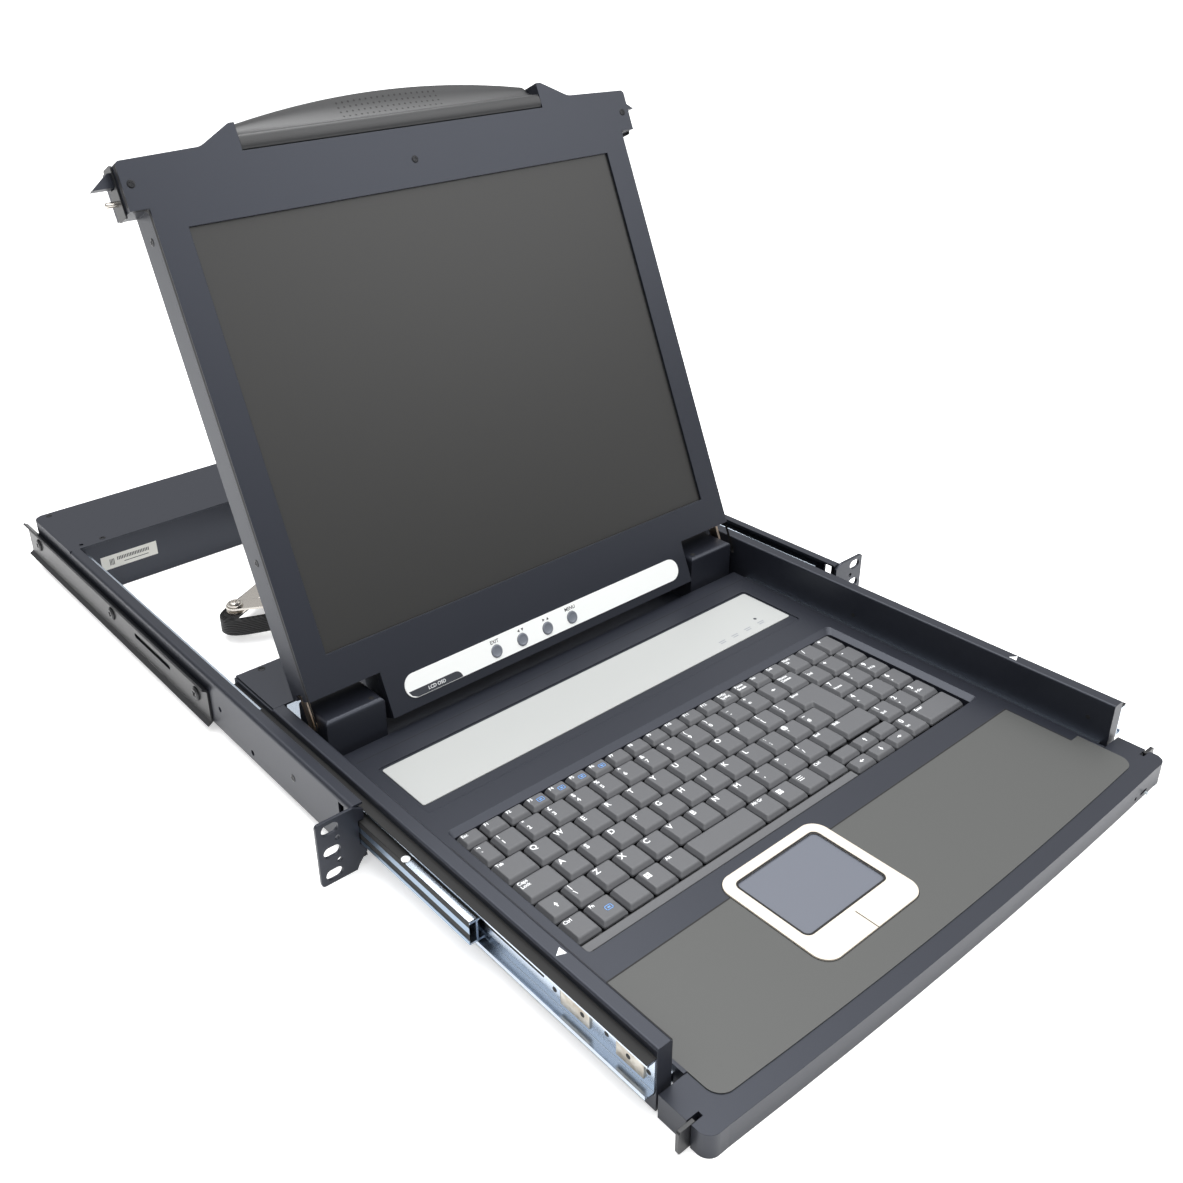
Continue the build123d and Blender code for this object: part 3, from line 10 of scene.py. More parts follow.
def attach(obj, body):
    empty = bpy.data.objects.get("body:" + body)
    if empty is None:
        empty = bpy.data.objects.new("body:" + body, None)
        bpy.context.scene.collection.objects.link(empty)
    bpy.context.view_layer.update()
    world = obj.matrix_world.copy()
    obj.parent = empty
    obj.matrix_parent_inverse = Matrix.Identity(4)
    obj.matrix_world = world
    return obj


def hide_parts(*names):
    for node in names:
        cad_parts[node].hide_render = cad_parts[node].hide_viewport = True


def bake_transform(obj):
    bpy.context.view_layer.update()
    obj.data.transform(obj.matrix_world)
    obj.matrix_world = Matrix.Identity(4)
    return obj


# Rackmount LCD console drawer, drawn out, with the display tilted up.
# Units are metres in the frame of the CAD: x across the rack, y to the rear, z up.

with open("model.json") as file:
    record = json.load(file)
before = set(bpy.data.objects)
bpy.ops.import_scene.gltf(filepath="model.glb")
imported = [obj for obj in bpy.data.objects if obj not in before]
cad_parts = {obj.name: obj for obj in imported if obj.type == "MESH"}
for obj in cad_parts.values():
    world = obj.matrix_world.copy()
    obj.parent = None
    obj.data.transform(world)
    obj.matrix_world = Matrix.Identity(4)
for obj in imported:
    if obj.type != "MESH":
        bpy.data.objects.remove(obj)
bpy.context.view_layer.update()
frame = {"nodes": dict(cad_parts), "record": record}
print("stage: frame loaded")

mm = 0.001


# materials

# sRGB hex to linear values
def linearColour(hexText, alpha=1.0):
    channels = [int(hexText[i:i + 2], 16) / 255 for i in (1, 3, 5)]
    linear = [c / 12.92 if c <= 0.04045 else ((c + 0.055) / 1.055) ** 2.4 for c in channels]
    return (*linear, alpha)


# one shader node, its input constants given by name
def addNode(material, kind, **inputs):
    node = material.node_tree.nodes.new(kind)
    for name, value in inputs.items():
        node.inputs[name.replace("_", " ")].default_value = value
    return node


def wire(material, fromSocket, toSocket):
    material.node_tree.links.new(fromSocket, toSocket)


def basicMaterial(name, hexText, roughness, metallic=0.0):
    material = bpy.data.materials.new(name)
    material.use_nodes = True
    shader = material.node_tree.nodes["Principled BSDF"]
    shader.inputs["Base Color"].default_value = linearColour(hexText)
    shader.inputs["Roughness"].default_value = roughness
    shader.inputs["Metallic"].default_value = metallic
    material.diffuse_color = linearColour(hexText)
    return material, shader


# noise in object space, its grain this many metres across
def objectNoise(material, grainSize, detail=2.0, stretch=(1, 1, 1)):
    coordinates = addNode(material, "ShaderNodeTexCoord")
    mapping = addNode(material, "ShaderNodeMapping", Scale=stretch)
    noise = addNode(material, "ShaderNodeTexNoise", Scale=1 / grainSize, Detail=detail)
    wire(material, coordinates.outputs["Object"], mapping.inputs["Vector"])
    wire(material, mapping.outputs["Vector"], noise.inputs["Vector"])
    return noise


# fine relief, and corners softened by the edge radius, both in millimetres
def addGrain(material, shader, grainSize, height, strength, stretch=(1, 1, 1), edge=0.0):
    noise = objectNoise(material, grainSize * mm, 2.0, stretch)
    bump = addNode(material, "ShaderNodeBump", Strength=strength, Distance=height * mm)
    wire(material, noise.outputs["Fac"], bump.inputs["Height"])
    if edge > 0:
        bevel = addNode(material, "ShaderNodeBevel", Radius=edge * mm)
        bevel.samples = 4
        wire(material, bevel.outputs["Normal"], bump.inputs["Normal"])
    wire(material, bump.outputs["Normal"], shader.inputs["Normal"])


def grained(name, hexText, roughness, metallic, *grain, **more):
    material, shader = basicMaterial(name, hexText, roughness, metallic)
    addGrain(material, shader, *grain, **more)
    return material


# slow shift between two tones
def addMottle(material, shader, hexLow, hexHigh, grainSize, stretch=(1, 1, 1)):
    noise = objectNoise(material, grainSize, 3.0, stretch)
    ramp = addNode(material, "ShaderNodeValToRGB")
    ramp.color_ramp.elements[0].position = 0.35
    ramp.color_ramp.elements[0].color = linearColour(hexLow)
    ramp.color_ramp.elements[1].position = 0.65
    ramp.color_ramp.elements[1].color = linearColour(hexHigh)
    wire(material, noise.outputs["Fac"], ramp.inputs["Fac"])
    wire(material, ramp.outputs["Color"], shader.inputs["Base Color"])


finishes = {
    "coatColour": "#1d1f26",
    "coatRoughness": 0.4,
    "zincColour": "#b9c3cf",
    "keyColour": "#535457",
    "palmColour": "#454645",
}

# Blue-black powder coat: a satin sheen over a very fine orange peel.
powderCoat, coatShader = basicMaterial(
    "powder_coated_steel", finishes["coatColour"], finishes["coatRoughness"])
coatShader.inputs["Specular Tint"].default_value = linearColour("#e4eaf8")
addGrain(powderCoat, coatShader, 0.45, 0.03, 0.5, edge=0.45)

# Black painted steel of the brackets: neutral where the coat is blue, and a little glossier.
blackSteel = grained("black_painted_steel", "#1a1b1e", 0.36, 0, 0.6, 0.02, 0.5, edge=0.4)

# Bright zinc of the slides: rolled along their length, so the sheen is drawn out in lines.
zincSteel = grained(
    "bright_zinc_steel", finishes["zincColour"], 0.27, 1.0, 0.8, 0.005, 0.25, (1, 0.03, 1))

# Yellow passivated zinc: warm, with faint pink and straw patches.
yellowZinc, yellowShader = basicMaterial("yellow_zinc_steel", "#cdb79f", 0.3, 1.0)
addMottle(yellowZinc, yellowShader, "#d8c7b6", "#c3a98d", 9 * mm)
addGrain(yellowZinc, yellowShader, 0.7, 0.01, 0.4, edge=0.25)

# Nickel plate of the arm and bolts: a clear warm mirror broken by light brushing.
nickelSteel = grained(
    "nickel_plated_steel", "#cbc6bf", 0.2, 1.0, 0.5, 0.006, 0.4, (0.1, 1, 1), 0.25)

# Green solder mask, seen only inside.
circuitBoard = basicMaterial("solder_mask", "#1d4a2a", 0.35)[0]

# Moulded black plastic of the handle and sockets: soft sheen on a fine spark finish.
blackPlastic = grained("black_moulded_plastic", "#1d1e20", 0.4, 0, 0.35, 0.02, 0.5)

# Keycaps: charcoal plastic with a matt texture that hides reflections.
keyPlastic = grained("keycap_plastic", finishes["keyColour"], 0.5, 0, 0.3, 0.015, 0.5)

# Palm rest film: flat mid grey with a faint sparkle of its printed texture.
palmFilm = grained("palm_rest_film", finishes["palmColour"], 0.5, 0, 0.25, 0.012, 0.6)

# White printed film of the plate under the screen.
whiteFilm = basicMaterial("white_film", "#a6a8a7", 0.35)[0]

# Champagne plastic around the touchpad: pale, warm and slightly glossy.
champagne, champagneShader = basicMaterial("champagne_plastic", "#cfc6b9", 0.34)
champagneShader.inputs["Coat Weight"].default_value = 0.15

# Touchpad surface: matt slate grey.
padPlastic = grained("touchpad_surface", "#5b5f69", 0.55, 0, 0.3, 0.01, 0.5)

# Silver grey film of the control strip and its darker tab.
greyFilm = basicMaterial("silver_grey_film", "#eef0ef", 0.35)[0]
darkFilm = basicMaterial("dark_film", "#33363d", 0.4)[0]

# Buttons of the control strip: grey plastic.
buttonPlastic = basicMaterial("button_plastic", "#6d727b", 0.35)[0]

# Small screws in black, and pale passivated plates of the slides.
darkScrew = basicMaterial("black_oxide_screw", "#1b1c1f", 0.3, 0.6)[0]
paleZinc, paleZincShader = basicMaterial("pale_passivated_steel", "#b7b2a9", 0.38, 1.0)
addMottle(paleZinc, paleZincShader, "#c2bdb3", "#a39a8c", 6 * mm)

# Blue passivated zinc of the middle members: cooler and duller than the bright steel.
blueZinc = grained("blue_zinc_steel", "#8b9cae", 0.34, 1.0, 0.8, 0.01, 0.3, (1, 0.03, 1))

# White plastic of the slide roller, clear lens of the light, and matt label paper.
whitePlastic = basicMaterial("white_plastic", "#dfe3e6", 0.35)[0]
clearLens = basicMaterial("clear_lens", "#b9c3c9", 0.2)[0]
labelPaper = basicMaterial("label_paper", "#e4e3dc", 0.5)[0]
greyInk = basicMaterial("grey_legend_ink", "#8b8e93", 0.5)[0]

# Legends: white print on the keys, blue for the second functions, dark on pale film.
whiteInk = basicMaterial("white_legend_ink", "#e6e8ea", 0.5)[0]
blueInk = basicMaterial("blue_legend_ink", "#5b8fd0", 0.5)[0]
darkInk = basicMaterial("dark_legend_ink", "#2b2d31", 0.5)[0]

# Dark gaps and holes, and painted shade laid over the slide tops and the middle members' faces.
darkGapAndShade = basicMaterial("dark_gap", "#0b0b0c", 0.7)[0]

# Anti-glare panel: near black, and its wide haze turns the room into a warm grey gradient.
screenGlass = grained("anti_glare_panel", "#1e1e1d", 0.45, 0, 0.12, 0.004, 0.6)

# Braided sleeve: black filament that catches small lights on its weave.
braidedSleeve, sleeveShader = basicMaterial("braided_sleeve", "#0d0d0f", 0.6)
sleeveWave = addNode(braidedSleeve, "ShaderNodeTexWave", Scale=300.0, Distortion=0.6)
sleeveWave.wave_type = "BANDS"
sleeveWave.bands_direction = "DIAGONAL"
sleeveCoordinates = addNode(braidedSleeve, "ShaderNodeTexCoord")
wire(braidedSleeve, sleeveCoordinates.outputs["Object"], sleeveWave.inputs["Vector"])
sleeveBump = addNode(braidedSleeve, "ShaderNodeBump", Strength=0.8, Distance=0.4 * mm)
wire(braidedSleeve, sleeveWave.outputs["Fac"], sleeveBump.inputs["Height"])
wire(braidedSleeve, sleeveBump.outputs["Normal"], sleeveShader.inputs["Normal"])

slotMaterials = {
    "powder_coat": powderCoat, "black_steel": blackSteel, "zinc_steel": zincSteel,
    "yellow_zinc": yellowZinc, "nickel_steel": nickelSteel, "circuit_board": circuitBoard,
    "black_plastic": blackPlastic, "key_plastic": keyPlastic, "palm_film": palmFilm,
    "white_film": whiteFilm, "champagne_plastic": champagne, "pad_plastic": padPlastic,
    "screen_glass": screenGlass, "grey_film": greyFilm, "button_plastic": buttonPlastic,
    "braided_sleeve": braidedSleeve,
}
nodeSlots = {row["node"]: row["material_slot"] for row in frame["record"]["subparts"]}
for nodeName, nodeObject in frame["nodes"].items():
    nodeObject.data.materials.clear()
    nodeObject.data.materials.append(slotMaterials[nodeSlots[nodeName]])
print("stage: materials set on the CAD nodes")


# shared mesh helpers

def linkObject(name, data):
    made = bpy.data.objects.new(name, data)
    bpy.context.scene.collection.objects.link(made)
    return made


def evaluatedMesh(holder):
    graph = bpy.context.evaluated_depsgraph_get()
    return bpy.data.meshes.new_from_object(holder.evaluated_get(graph))


# vertices and faces of a curve, which is then removed
def takeCurve(curve):
    holder = linkObject(curve.name, curve)
    made = evaluatedMesh(holder)
    vertices = [v.co.copy() for v in made.vertices]
    faces = [tuple(p.vertices) for p in made.polygons]
    bpy.data.objects.remove(holder)
    bpy.data.curves.remove(curve)
    bpy.data.meshes.remove(made)
    return vertices, faces


# quads between neighbouring rings of one stack
def ringFaces(faces, start, size, levels):
    for level in range(levels - 1):
        low = start + level * size
        for i in range(size):
            j = (i + 1) % size
            faces.append((low + i, low + j, low + size + j, low + size + i))


def circlePoints(radius, height, segments):
    turns = [2 * math.pi * k / segments for k in range(segments)]
    return [(radius * math.cos(turn), radius * math.sin(turn), height) for turn in turns]


def newPiece(name, vertices, faces, material, body, slotName=None):
    mesh = bpy.data.meshes.new(name)
    mesh.from_pydata([tuple(v) for v in vertices], [], faces)
    mesh.materials.append(material)
    mesh.validate()
    piece = linkObject(name, mesh)
    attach(piece, body)
    return piece


# each corner between its neighbours
def cornersOf(points):
    for i, here in enumerate(points):
        yield Vector(points[i - 1]), Vector(here), Vector(points[(i + 1) % len(points)])


# moves each side of a counter-clockwise polygon inwards
def insetPolygon(points, inset):
    moved = []
    for before, here, after in cornersOf(points):
        first = (here - before).normalized()
        second = (after - here).normalized()
        firstNormal = Vector((-first.y, first.x))
        secondNormal = Vector((-second.y, second.x))
        bisector = firstNormal + secondNormal
        moved.append(here + bisector * (inset / max(0.2, 1 + firstNormal.dot(secondNormal))))
    return moved


# corners of a polygon as short arcs
def roundPolygon(points, radius, steps=3):
    rounded = []
    for before, here, after in cornersOf(points):
        toBefore = (before - here).normalized()
        toAfter = (after - here).normalized()
        half = toBefore.angle(toAfter) / 2
        reach = radius / math.tan(half)
        start = here + toBefore * reach
        end = here + toAfter * reach
        centre = here + (toBefore + toAfter).normalized() * (radius / math.sin(half))
        startAngle = math.atan2(start.y - centre.y, start.x - centre.x)
        turn = math.atan2(end.y - centre.y, end.x - centre.x) - startAngle
        turn = (turn + math.pi) % (2 * math.pi) - math.pi
        for k in range(steps + 1):
            angle = startAngle + turn * k / steps
            rounded.append(centre + Vector((math.cos(angle), math.sin(angle))) * radius)
    return rounded


# skins outlines stacked in height into one closed solid
def ringSolid(vertices, faces, rings, placePoint):
    start = len(vertices)
    size = len(rings[0][0])
    for outline, height in rings:
        vertices.extend(placePoint(p.x, p.y, height) for p in outline)
    ringFaces(faces, start, size, len(rings))
    top = start + (len(rings) - 1) * size
    faces.append(tuple(range(top, top + size)))
    faces.append(tuple(reversed(range(start, start + size))))


def textMesh(text, size, align="CENTER"):
    curve = bpy.data.curves.new("lettering", "FONT")
    curve.body = text
    curve.size = size
    curve.align_x = align
    curve.align_y = "CENTER"
    curve.resolution_u = 3
    curve.offset = size * keyLayout["boldness"]
    return takeCurve(curve)


textCache = {}


def addText(vertices, faces, text, size, x, y, placePoint, height, align="CENTER"):
    key = (text, size, align)
    if key not in textCache:
        textCache[key] = textMesh(text, size, align)
    letterVertices, letterFaces = textCache[key]
    start = len(vertices)
    vertices.extend(placePoint(x + v.x, y + v.y, height) for v in letterVertices)
    faces.extend(tuple(start + i for i in face) for face in letterFaces)


def addShape(vertices, faces, points, placePoint, height):
    start = len(vertices)
    vertices.extend(placePoint(x, y, height) for x, y in points)
    faces.append(tuple(range(start, start + len(points))))


def rectangleAt(x0, y0, x1, y1):
    return [(x0, y0), (x1, y0), (x1, y1), (x0, y1)]


def trayPoint(x, y, z):
    return Vector((x * mm, y * mm, z * mm))


lean = math.radians(23.8)
panelOrigin = Vector((
    0,
    97.1 + 41.9 * math.sin(lean) - 14 * math.cos(lean),
    33 + 41.9 * math.cos(lean) + 14 * math.sin(lean))) * mm
panelUp = Vector((0, math.sin(lean), math.cos(lean)))
panelOut = Vector((0, -math.cos(lean), math.sin(lean)))


# across the display, up its face and out of its front, in millimetres
def panelPoint(x, up, out):
    return panelOrigin + Vector((x, 0, 0)) * mm + panelUp * (up * mm) + panelOut * (out * mm)


# keycaps and their legends

keyLayout = {
    "pitch": 19.05,
    "left": -168.75,
    "rear": -27.0,
    "functionDepth": 13.0,
    "mainShare": 14.74,
    "gap": 0.7,
    "base": 10.6,
    "top": 14.2,
    "cornerRadius": 1.3,
    "letterSize": 5.4,
    "smallSize": 2.9,
    "wordSize": 2.9,
    "boldness": 0.02,
    "topShift": 0.45,
    "numpadLeft": 111.9,
    "numpadPitch": 18.7,
    "arrowRears": (-117.7, -129.95),
    "arrowDepth": 12.25,
}
legend = {
    "left": 3.4,
    "down": 4.6,
    "lift": 0.03,
    "symbolShare": 0.82,
    "symbolDrop": 4.9,
    "extraDrop": 6.0,
    "wordShare": 1.12,
    "wordStep": 3.1,
    "arrowSize": 2.0,
}
pitch = keyLayout["pitch"]
keysLeft = keyLayout["left"]
mainWidth = keyLayout["mainShare"] * pitch
numberRear = keyLayout["rear"] - keyLayout["functionDepth"]
upperRear = numberRear - pitch
bottomRear = numberRear - 4 * pitch
spaceLeft = keysLeft + 4.95 * pitch
spaceRight = spaceLeft + 2.77 * pitch
arrowLeft = spaceRight + 4 * pitch
arrowWidth = (keysLeft + mainWidth - arrowLeft) / 3
enterLeft = keysLeft + 13.18 * pitch
enterRight = keysLeft + mainWidth
enterLowLeft = enterLeft + 0.395 * pitch
numpadLeft = keyLayout["numpadLeft"]
numpadPitch = keyLayout["numpadPitch"]


# one row of keys as rectangles with their labels
def rowOf(left, rear, depth, widths, labels):
    keys = []
    start = left
    for width, label in zip(widths, labels):
        keys.append((start, rear - depth, start + width, rear, label))
        start += width
    return keys


def shares(*values):
    return [value * pitch for value in values]


letterRows = {
    "keys_function": rowOf(
        keysLeft, keyLayout["rear"], keyLayout["functionDepth"], [mainWidth / 17] * 17,
        ["w:Esc", "w:F1", "w:F2", "b:F3", "b:F4", "b:F5", "b:F6", "w:F7", "w:F8", "w:F9", "w:F10",
         "w:F11", "w:F12", "w:PrtSc|SysRq", "w:Pause|Break", "w:Ins", "w:Del"]),
    "keys_number": rowOf(
        keysLeft, numberRear, pitch, shares(0.76, *[1] * 12, 0.93, 1.05),
        ["s:¬|`", "s:!|1", 's:"|2', "s:£|3", "s:$|4", "s:%|5", "s:^|6", "s:&|7", "s:*|8",
         "s:(|9", "s:)|0", "s:_|-", "s:+|=", "a:left", "w:Home|Delete"]),
    "keys_upper": rowOf(
        keysLeft, upperRear, pitch, shares(1.25, *[1] * 11, 0.93),
        ["w:Tab", "l:Q", "l:W", "l:E", "l:R", "l:T", "l:Y", "l:U", "l:I", "l:O", "l:P",
         "s:{|[", "s:}|]"]),
    "keys_home": rowOf(
        keysLeft, upperRear - pitch, pitch, shares(1.48, *[1] * 11, 1.1),
        ["w:Caps|Lock", "l:A", "l:S", "l:D", "l:F", "l:G", "l:H", "l:J", "l:K", "l:L",
         "s::|;", "s:@|'", "s:~|#"]),
    "keys_lower": rowOf(
        keysLeft, upperRear - 2 * pitch, pitch, shares(0.97, *[1] * 11, 0.98, 1.79),
        ["a:up", "s:||\\", "l:Z", "l:X", "l:C", "l:V", "l:B", "l:N", "l:M", "s:<|,", "s:>|.",
         "s:?|/", "w:End", "w:Shift"]),
    "keys_bottom": rowOf(
        keysLeft, bottomRear, pitch, shares(0.95, 1, 1, 1, 1),
        ["w:Ctrl", "b:Fn", "", "m:", "w:Alt"])
    + rowOf(spaceRight, bottomRear, pitch, shares(1, 1, 1, 1), ["w:Alt Gr", "m:", "c:", "w:Ctrl"]),
    "space_bar": rowOf(spaceLeft, bottomRear, pitch, shares(2.77), [""]),
    "keys_arrow": sum(
        [rowOf(arrowLeft, rear, keyLayout["arrowDepth"], [arrowWidth] * 3, labels)
         for rear, labels in zip(
             keyLayout["arrowRears"], (["", "a:up", ""], ["a:left", "a:down", "a:right"]))], []),
    "keys_numpad": sum(
        [rowOf(numpadLeft, keyLayout["rear"] - k * pitch, pitch, [numpadPitch] * 3, labels)
         for k, labels in enumerate([
             ["w:Num|Lk", "l:/", "l:*"], ["w:.|Del", "l:+", "l:-"],
             ["n:7|Home", "n:8|^", "n:9|PgUp"], ["n:4|<", "n:5|", "n:6|>"],
             ["n:1|End", "n:2|v", "n:3|PgDn"]])], [])
    + rowOf(
        numpadLeft, keyLayout["rear"] - 5 * pitch, pitch, [numpadPitch, 2 * numpadPitch],
        ["n:0|Ins", "w:Enter"]),
}


# outlines of a cap from its skirt to its rounded top
def capRings(polygon):
    base = keyLayout["base"]
    top = keyLayout["top"]
    radius = keyLayout["cornerRadius"]
    levels = (
        (0.0, base, 0.0), (0.15, base + 1.0, 0.0), (1.3, top - 0.7, 0.6), (1.6, top - 0.28, 0.9),
        (1.95, top - 0.06, 1.0), (2.5, top, 1.0))
    rings = []
    for inset, z, share in levels:
        outline = roundPolygon(insetPolygon(polygon, inset), max(0.4, radius - inset * 0.2))
        rings.append(([p + Vector((0, keyLayout["topShift"] * share)) for p in outline], z))
    return rings


def arrowPoints(direction, x, y, size):
    turns = {"up": 0, "left": 1, "down": 2, "right": 3}
    angle = turns[direction] * math.pi / 2
    outline = [(0, 1), (-0.62, 0), (-0.2, 0), (-0.2, -0.9), (0.2, -0.9), (0.2, 0), (0.62, 0)]
    return [(
        x + size * (px * math.cos(angle) - py * math.sin(angle)),
        y + size * (px * math.sin(angle) + py * math.cos(angle))) for px, py in outline]


# small open box, as printed round a second function
def addFrame(vertices, faces, x, y, height):
    wide, deep, line = 2.4, 1.7, 0.42
    for x0, y0, x1, y1 in (
            (-wide, -deep, wide, -deep + line), (-wide, deep - line, wide, deep),
            (-wide, -deep, -wide + line, deep), (wide - line, -deep, wide, deep),
            (-0.9, -0.5, 0.9, 0.5)):
        addShape(vertices, faces, rectangleAt(x + x0, y + y0, x + x1, y + y1), trayPoint, height)


def addLegend(label, left, front, right, rear, ink, blue):
    kind, words = label.split(":", 1)
    x = left + legend["left"]
    y = rear - legend["down"]
    middle = ((left + right) / 2, (front + rear) / 2)
    height = keyLayout["top"] + legend["lift"]
    size = keyLayout["letterSize"]

    def write(text, textSize, across, up, align="CENTER"):
        addText(*ink, text, textSize, x + across, y + up, trayPoint, height, align)

    if kind == "l":
        write(words, size, 1.6, -0.6)
    elif kind == "s":
        upper, lower = words.rsplit("|", 1)
        write(upper, size * legend["symbolShare"], 1.2, 0.2)
        write(lower, size * legend["symbolShare"], 1.2, -legend["symbolDrop"])
    elif kind == "n":
        number, extra = words.split("|")
        write(number, size, 1.6, -0.4)
        if extra:
            write(extra, keyLayout["smallSize"], -0.6, -legend["extraDrop"], "LEFT")
    elif kind in "wb":
        wordSize = keyLayout["wordSize"] * legend["wordShare"]
        for k, line in enumerate(words.split("|")):
            write(line, wordSize, -0.7, 0.6 - legend["wordStep"] * k, "LEFT")
        if kind == "b":
            addFrame(*blue, middle[0] + 1.6, middle[1] - 0.6, height)
    elif kind == "a":
        addShape(*ink, arrowPoints(words, *middle, legend["arrowSize"]), trayPoint, height)
    elif kind == "m":
        for x0 in (x, x + 2.1):
            for y1 in (y, y - 2.1):
                addShape(*ink, rectangleAt(x0, y1 - 1.8, x0 + 1.8, y1), trayPoint, height)
    elif kind == "c":
        for dy in (0, -1.5, -3.0):
            addShape(*ink, rectangleAt(x, y + dy - 0.5, x + 4.4, y + dy), trayPoint, height)


gap = keyLayout["gap"]
for bodyName, keys in letterRows.items():
    capLists, inkLists, blueLists = ([], []), ([], []), ([], [])
    polygons = []
    for left, front, right, rear, label in keys:
        polygons.append(rectangleAt(left + gap, front + gap, right - gap, rear - gap))
        if label:
            addLegend(label, left, front, right, rear, inkLists, blueLists)
    if bodyName == "keys_upper":
        front = upperRear - 2 * pitch
        step = upperRear - pitch
        polygons.append([
            (enterLowLeft + gap, front + gap), (enterRight - gap, front + gap),
            (enterRight - gap, upperRear - gap), (enterLeft + gap, upperRear - gap),
            (enterLeft + gap, step + gap), (enterLowLeft + gap, step + gap)])
        addLegend("w:Enter", enterLeft, front, enterRight, upperRear, inkLists, blueLists)
    for polygon in polygons:
        ringSolid(*capLists, capRings(polygon), trayPoint)
    caps = newPiece(bodyName + "_caps", *capLists, keyPlastic, bodyName, "key_plastic")
    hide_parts(bodyName)
    if inkLists[0]:
        newPiece(bodyName + "_legends", *inkLists, whiteInk, bodyName)
    if blueLists[0]:
        newPiece(bodyName + "_blue_legends", *blueLists, blueInk, bodyName)
print("stage: keycaps and legends")


# repeated small parts, placed by a node group

# hidden source whose copies the node group places
def shapeObject(name, vertices, faces):
    mesh = bpy.data.meshes.new(name)
    mesh.from_pydata([tuple(v) for v in vertices], [], faces)
    mesh.validate()
    return bpy.data.objects.new(name, mesh)


# turned about z, its profile given as (radius, height) from rim to middle
def turnedShape(name, profile, segments=20):
    vertices, faces = [], []
    for radius, height in profile:
        vertices.extend(circlePoints(radius * mm, height * mm, segments))
    ringFaces(faces, 0, segments, len(profile))
    top = (len(profile) - 1) * segments
    faces.append(tuple(range(top, top + segments)))
    return shapeObject(name, vertices, faces)


# screw head about z with a cross recess in its top
def crossHead(name, radius, height, crossSize, depth, segments=24):
    radius, height, crossSize, depth = (size * mm for size in (radius, height, crossSize, depth))
    half = crossSize * 0.16
    arm = crossSize / 2
    cross = [
        (half, half), (half, arm), (-half, arm), (-half, half), (-arm, half), (-arm, -half),
        (-half, -half), (-half, -arm), (half, -arm), (half, -half), (arm, -half), (arm, half)]
    levels = ((radius, 0.0), (radius * 0.96, height * 0.55), (radius * 0.72, height))
    vertices, faces = [], []
    for levelRadius, levelHeight in levels:
        vertices.extend(circlePoints(levelRadius, levelHeight, segments))
    ringFaces(faces, 0, segments, len(levels))
    rimStart = (len(levels) - 1) * segments
    crossStart = len(vertices)
    count = len(cross)
    vertices.extend((x, y, height) for x, y in cross)
    vertices.extend((x * 0.8, y * 0.8, height - depth) for x, y in cross)
    rim = [Vector(vertices[rimStart + k]) for k in range(segments)]
    edge = [Vector(vertices[crossStart + k]) for k in range(count)]
    for triangle in tessellate_polygon([rim, list(reversed(edge))]):
        corners = [
            rimStart + index if index < segments else crossStart + count - 1 - (index - segments)
            for index in triangle]
        p, q, r = (Vector(vertices[i]) for i in corners)
        faces.append(tuple(corners) if (q - p).cross(r - p).z > 0 else tuple(reversed(corners)))
    ringFaces(faces, crossStart, count, 2)
    faces.append(tuple(range(crossStart + count, crossStart + 2 * count)))
    return shapeObject(name, vertices, faces)


# copies of a shape on points, turned to each point's facing, with a seeded spin
def buildScatterGroup():
    group = bpy.data.node_groups.new("placed_copies", "GeometryNodeTree")
    sockets = (
        ("Points", "INPUT", "NodeSocketGeometry"), ("Shape", "INPUT", "NodeSocketObject"),
        ("Material", "INPUT", "NodeSocketMaterial"), ("Spin", "INPUT", "NodeSocketFloat"),
        ("Seed", "INPUT", "NodeSocketInt"), ("Geometry", "OUTPUT", "NodeSocketGeometry"))
    for name, way, kind in sockets:
        group.interface.new_socket(name, in_out=way, socket_type=kind)
    add = group.nodes.new
    given = add("NodeGroupInput")
    made = add("NodeGroupOutput")
    facing = add("GeometryNodeInputNamedAttribute")
    facing.data_type = "FLOAT_VECTOR"
    facing.inputs["Name"].default_value = "facing"
    align = add("FunctionNodeAlignRotationToVector")
    align.axis = "Z"
    spin = add("FunctionNodeRandomValue")
    spin.data_type = "FLOAT"
    about = add("FunctionNodeAxisAngleToRotation")
    about.inputs["Axis"].default_value = (0, 0, 1)
    turned = add("FunctionNodeRotateRotation")
    turned.rotation_space = "LOCAL"
    shape = add("GeometryNodeObjectInfo")
    place = add("GeometryNodeInstanceOnPoints")
    realize = add("GeometryNodeRealizeInstances")
    coat = add("GeometryNodeSetMaterial")
    spinRange = next(x for x in spin.inputs if x.name == "Max" and x.type == "VALUE")
    spinValue = next(x for x in spin.outputs if x.type == "VALUE")
    for fromSocket, toSocket in (
            (facing.outputs["Attribute"], align.inputs["Vector"]),
            (given.outputs["Spin"], spinRange),
            (given.outputs["Seed"], spin.inputs["Seed"]),
            (spinValue, about.inputs["Angle"]),
            (align.outputs["Rotation"], turned.inputs["Rotation"]),
            (about.outputs["Rotation"], turned.inputs["Rotate By"]),
            (given.outputs["Shape"], shape.inputs["Object"]),
            (given.outputs["Points"], place.inputs["Points"]),
            (shape.outputs["Geometry"], place.inputs["Instance"]),
            (turned.outputs["Rotation"], place.inputs["Rotation"]),
            (place.outputs["Instances"], realize.inputs["Geometry"]),
            (realize.outputs["Geometry"], coat.inputs["Geometry"]),
            (given.outputs["Material"], coat.inputs["Material"]),
            (coat.outputs["Geometry"], made.inputs["Geometry"])):
        group.links.new(fromSocket, toSocket)
    return group


scatterGroup = buildScatterGroup()


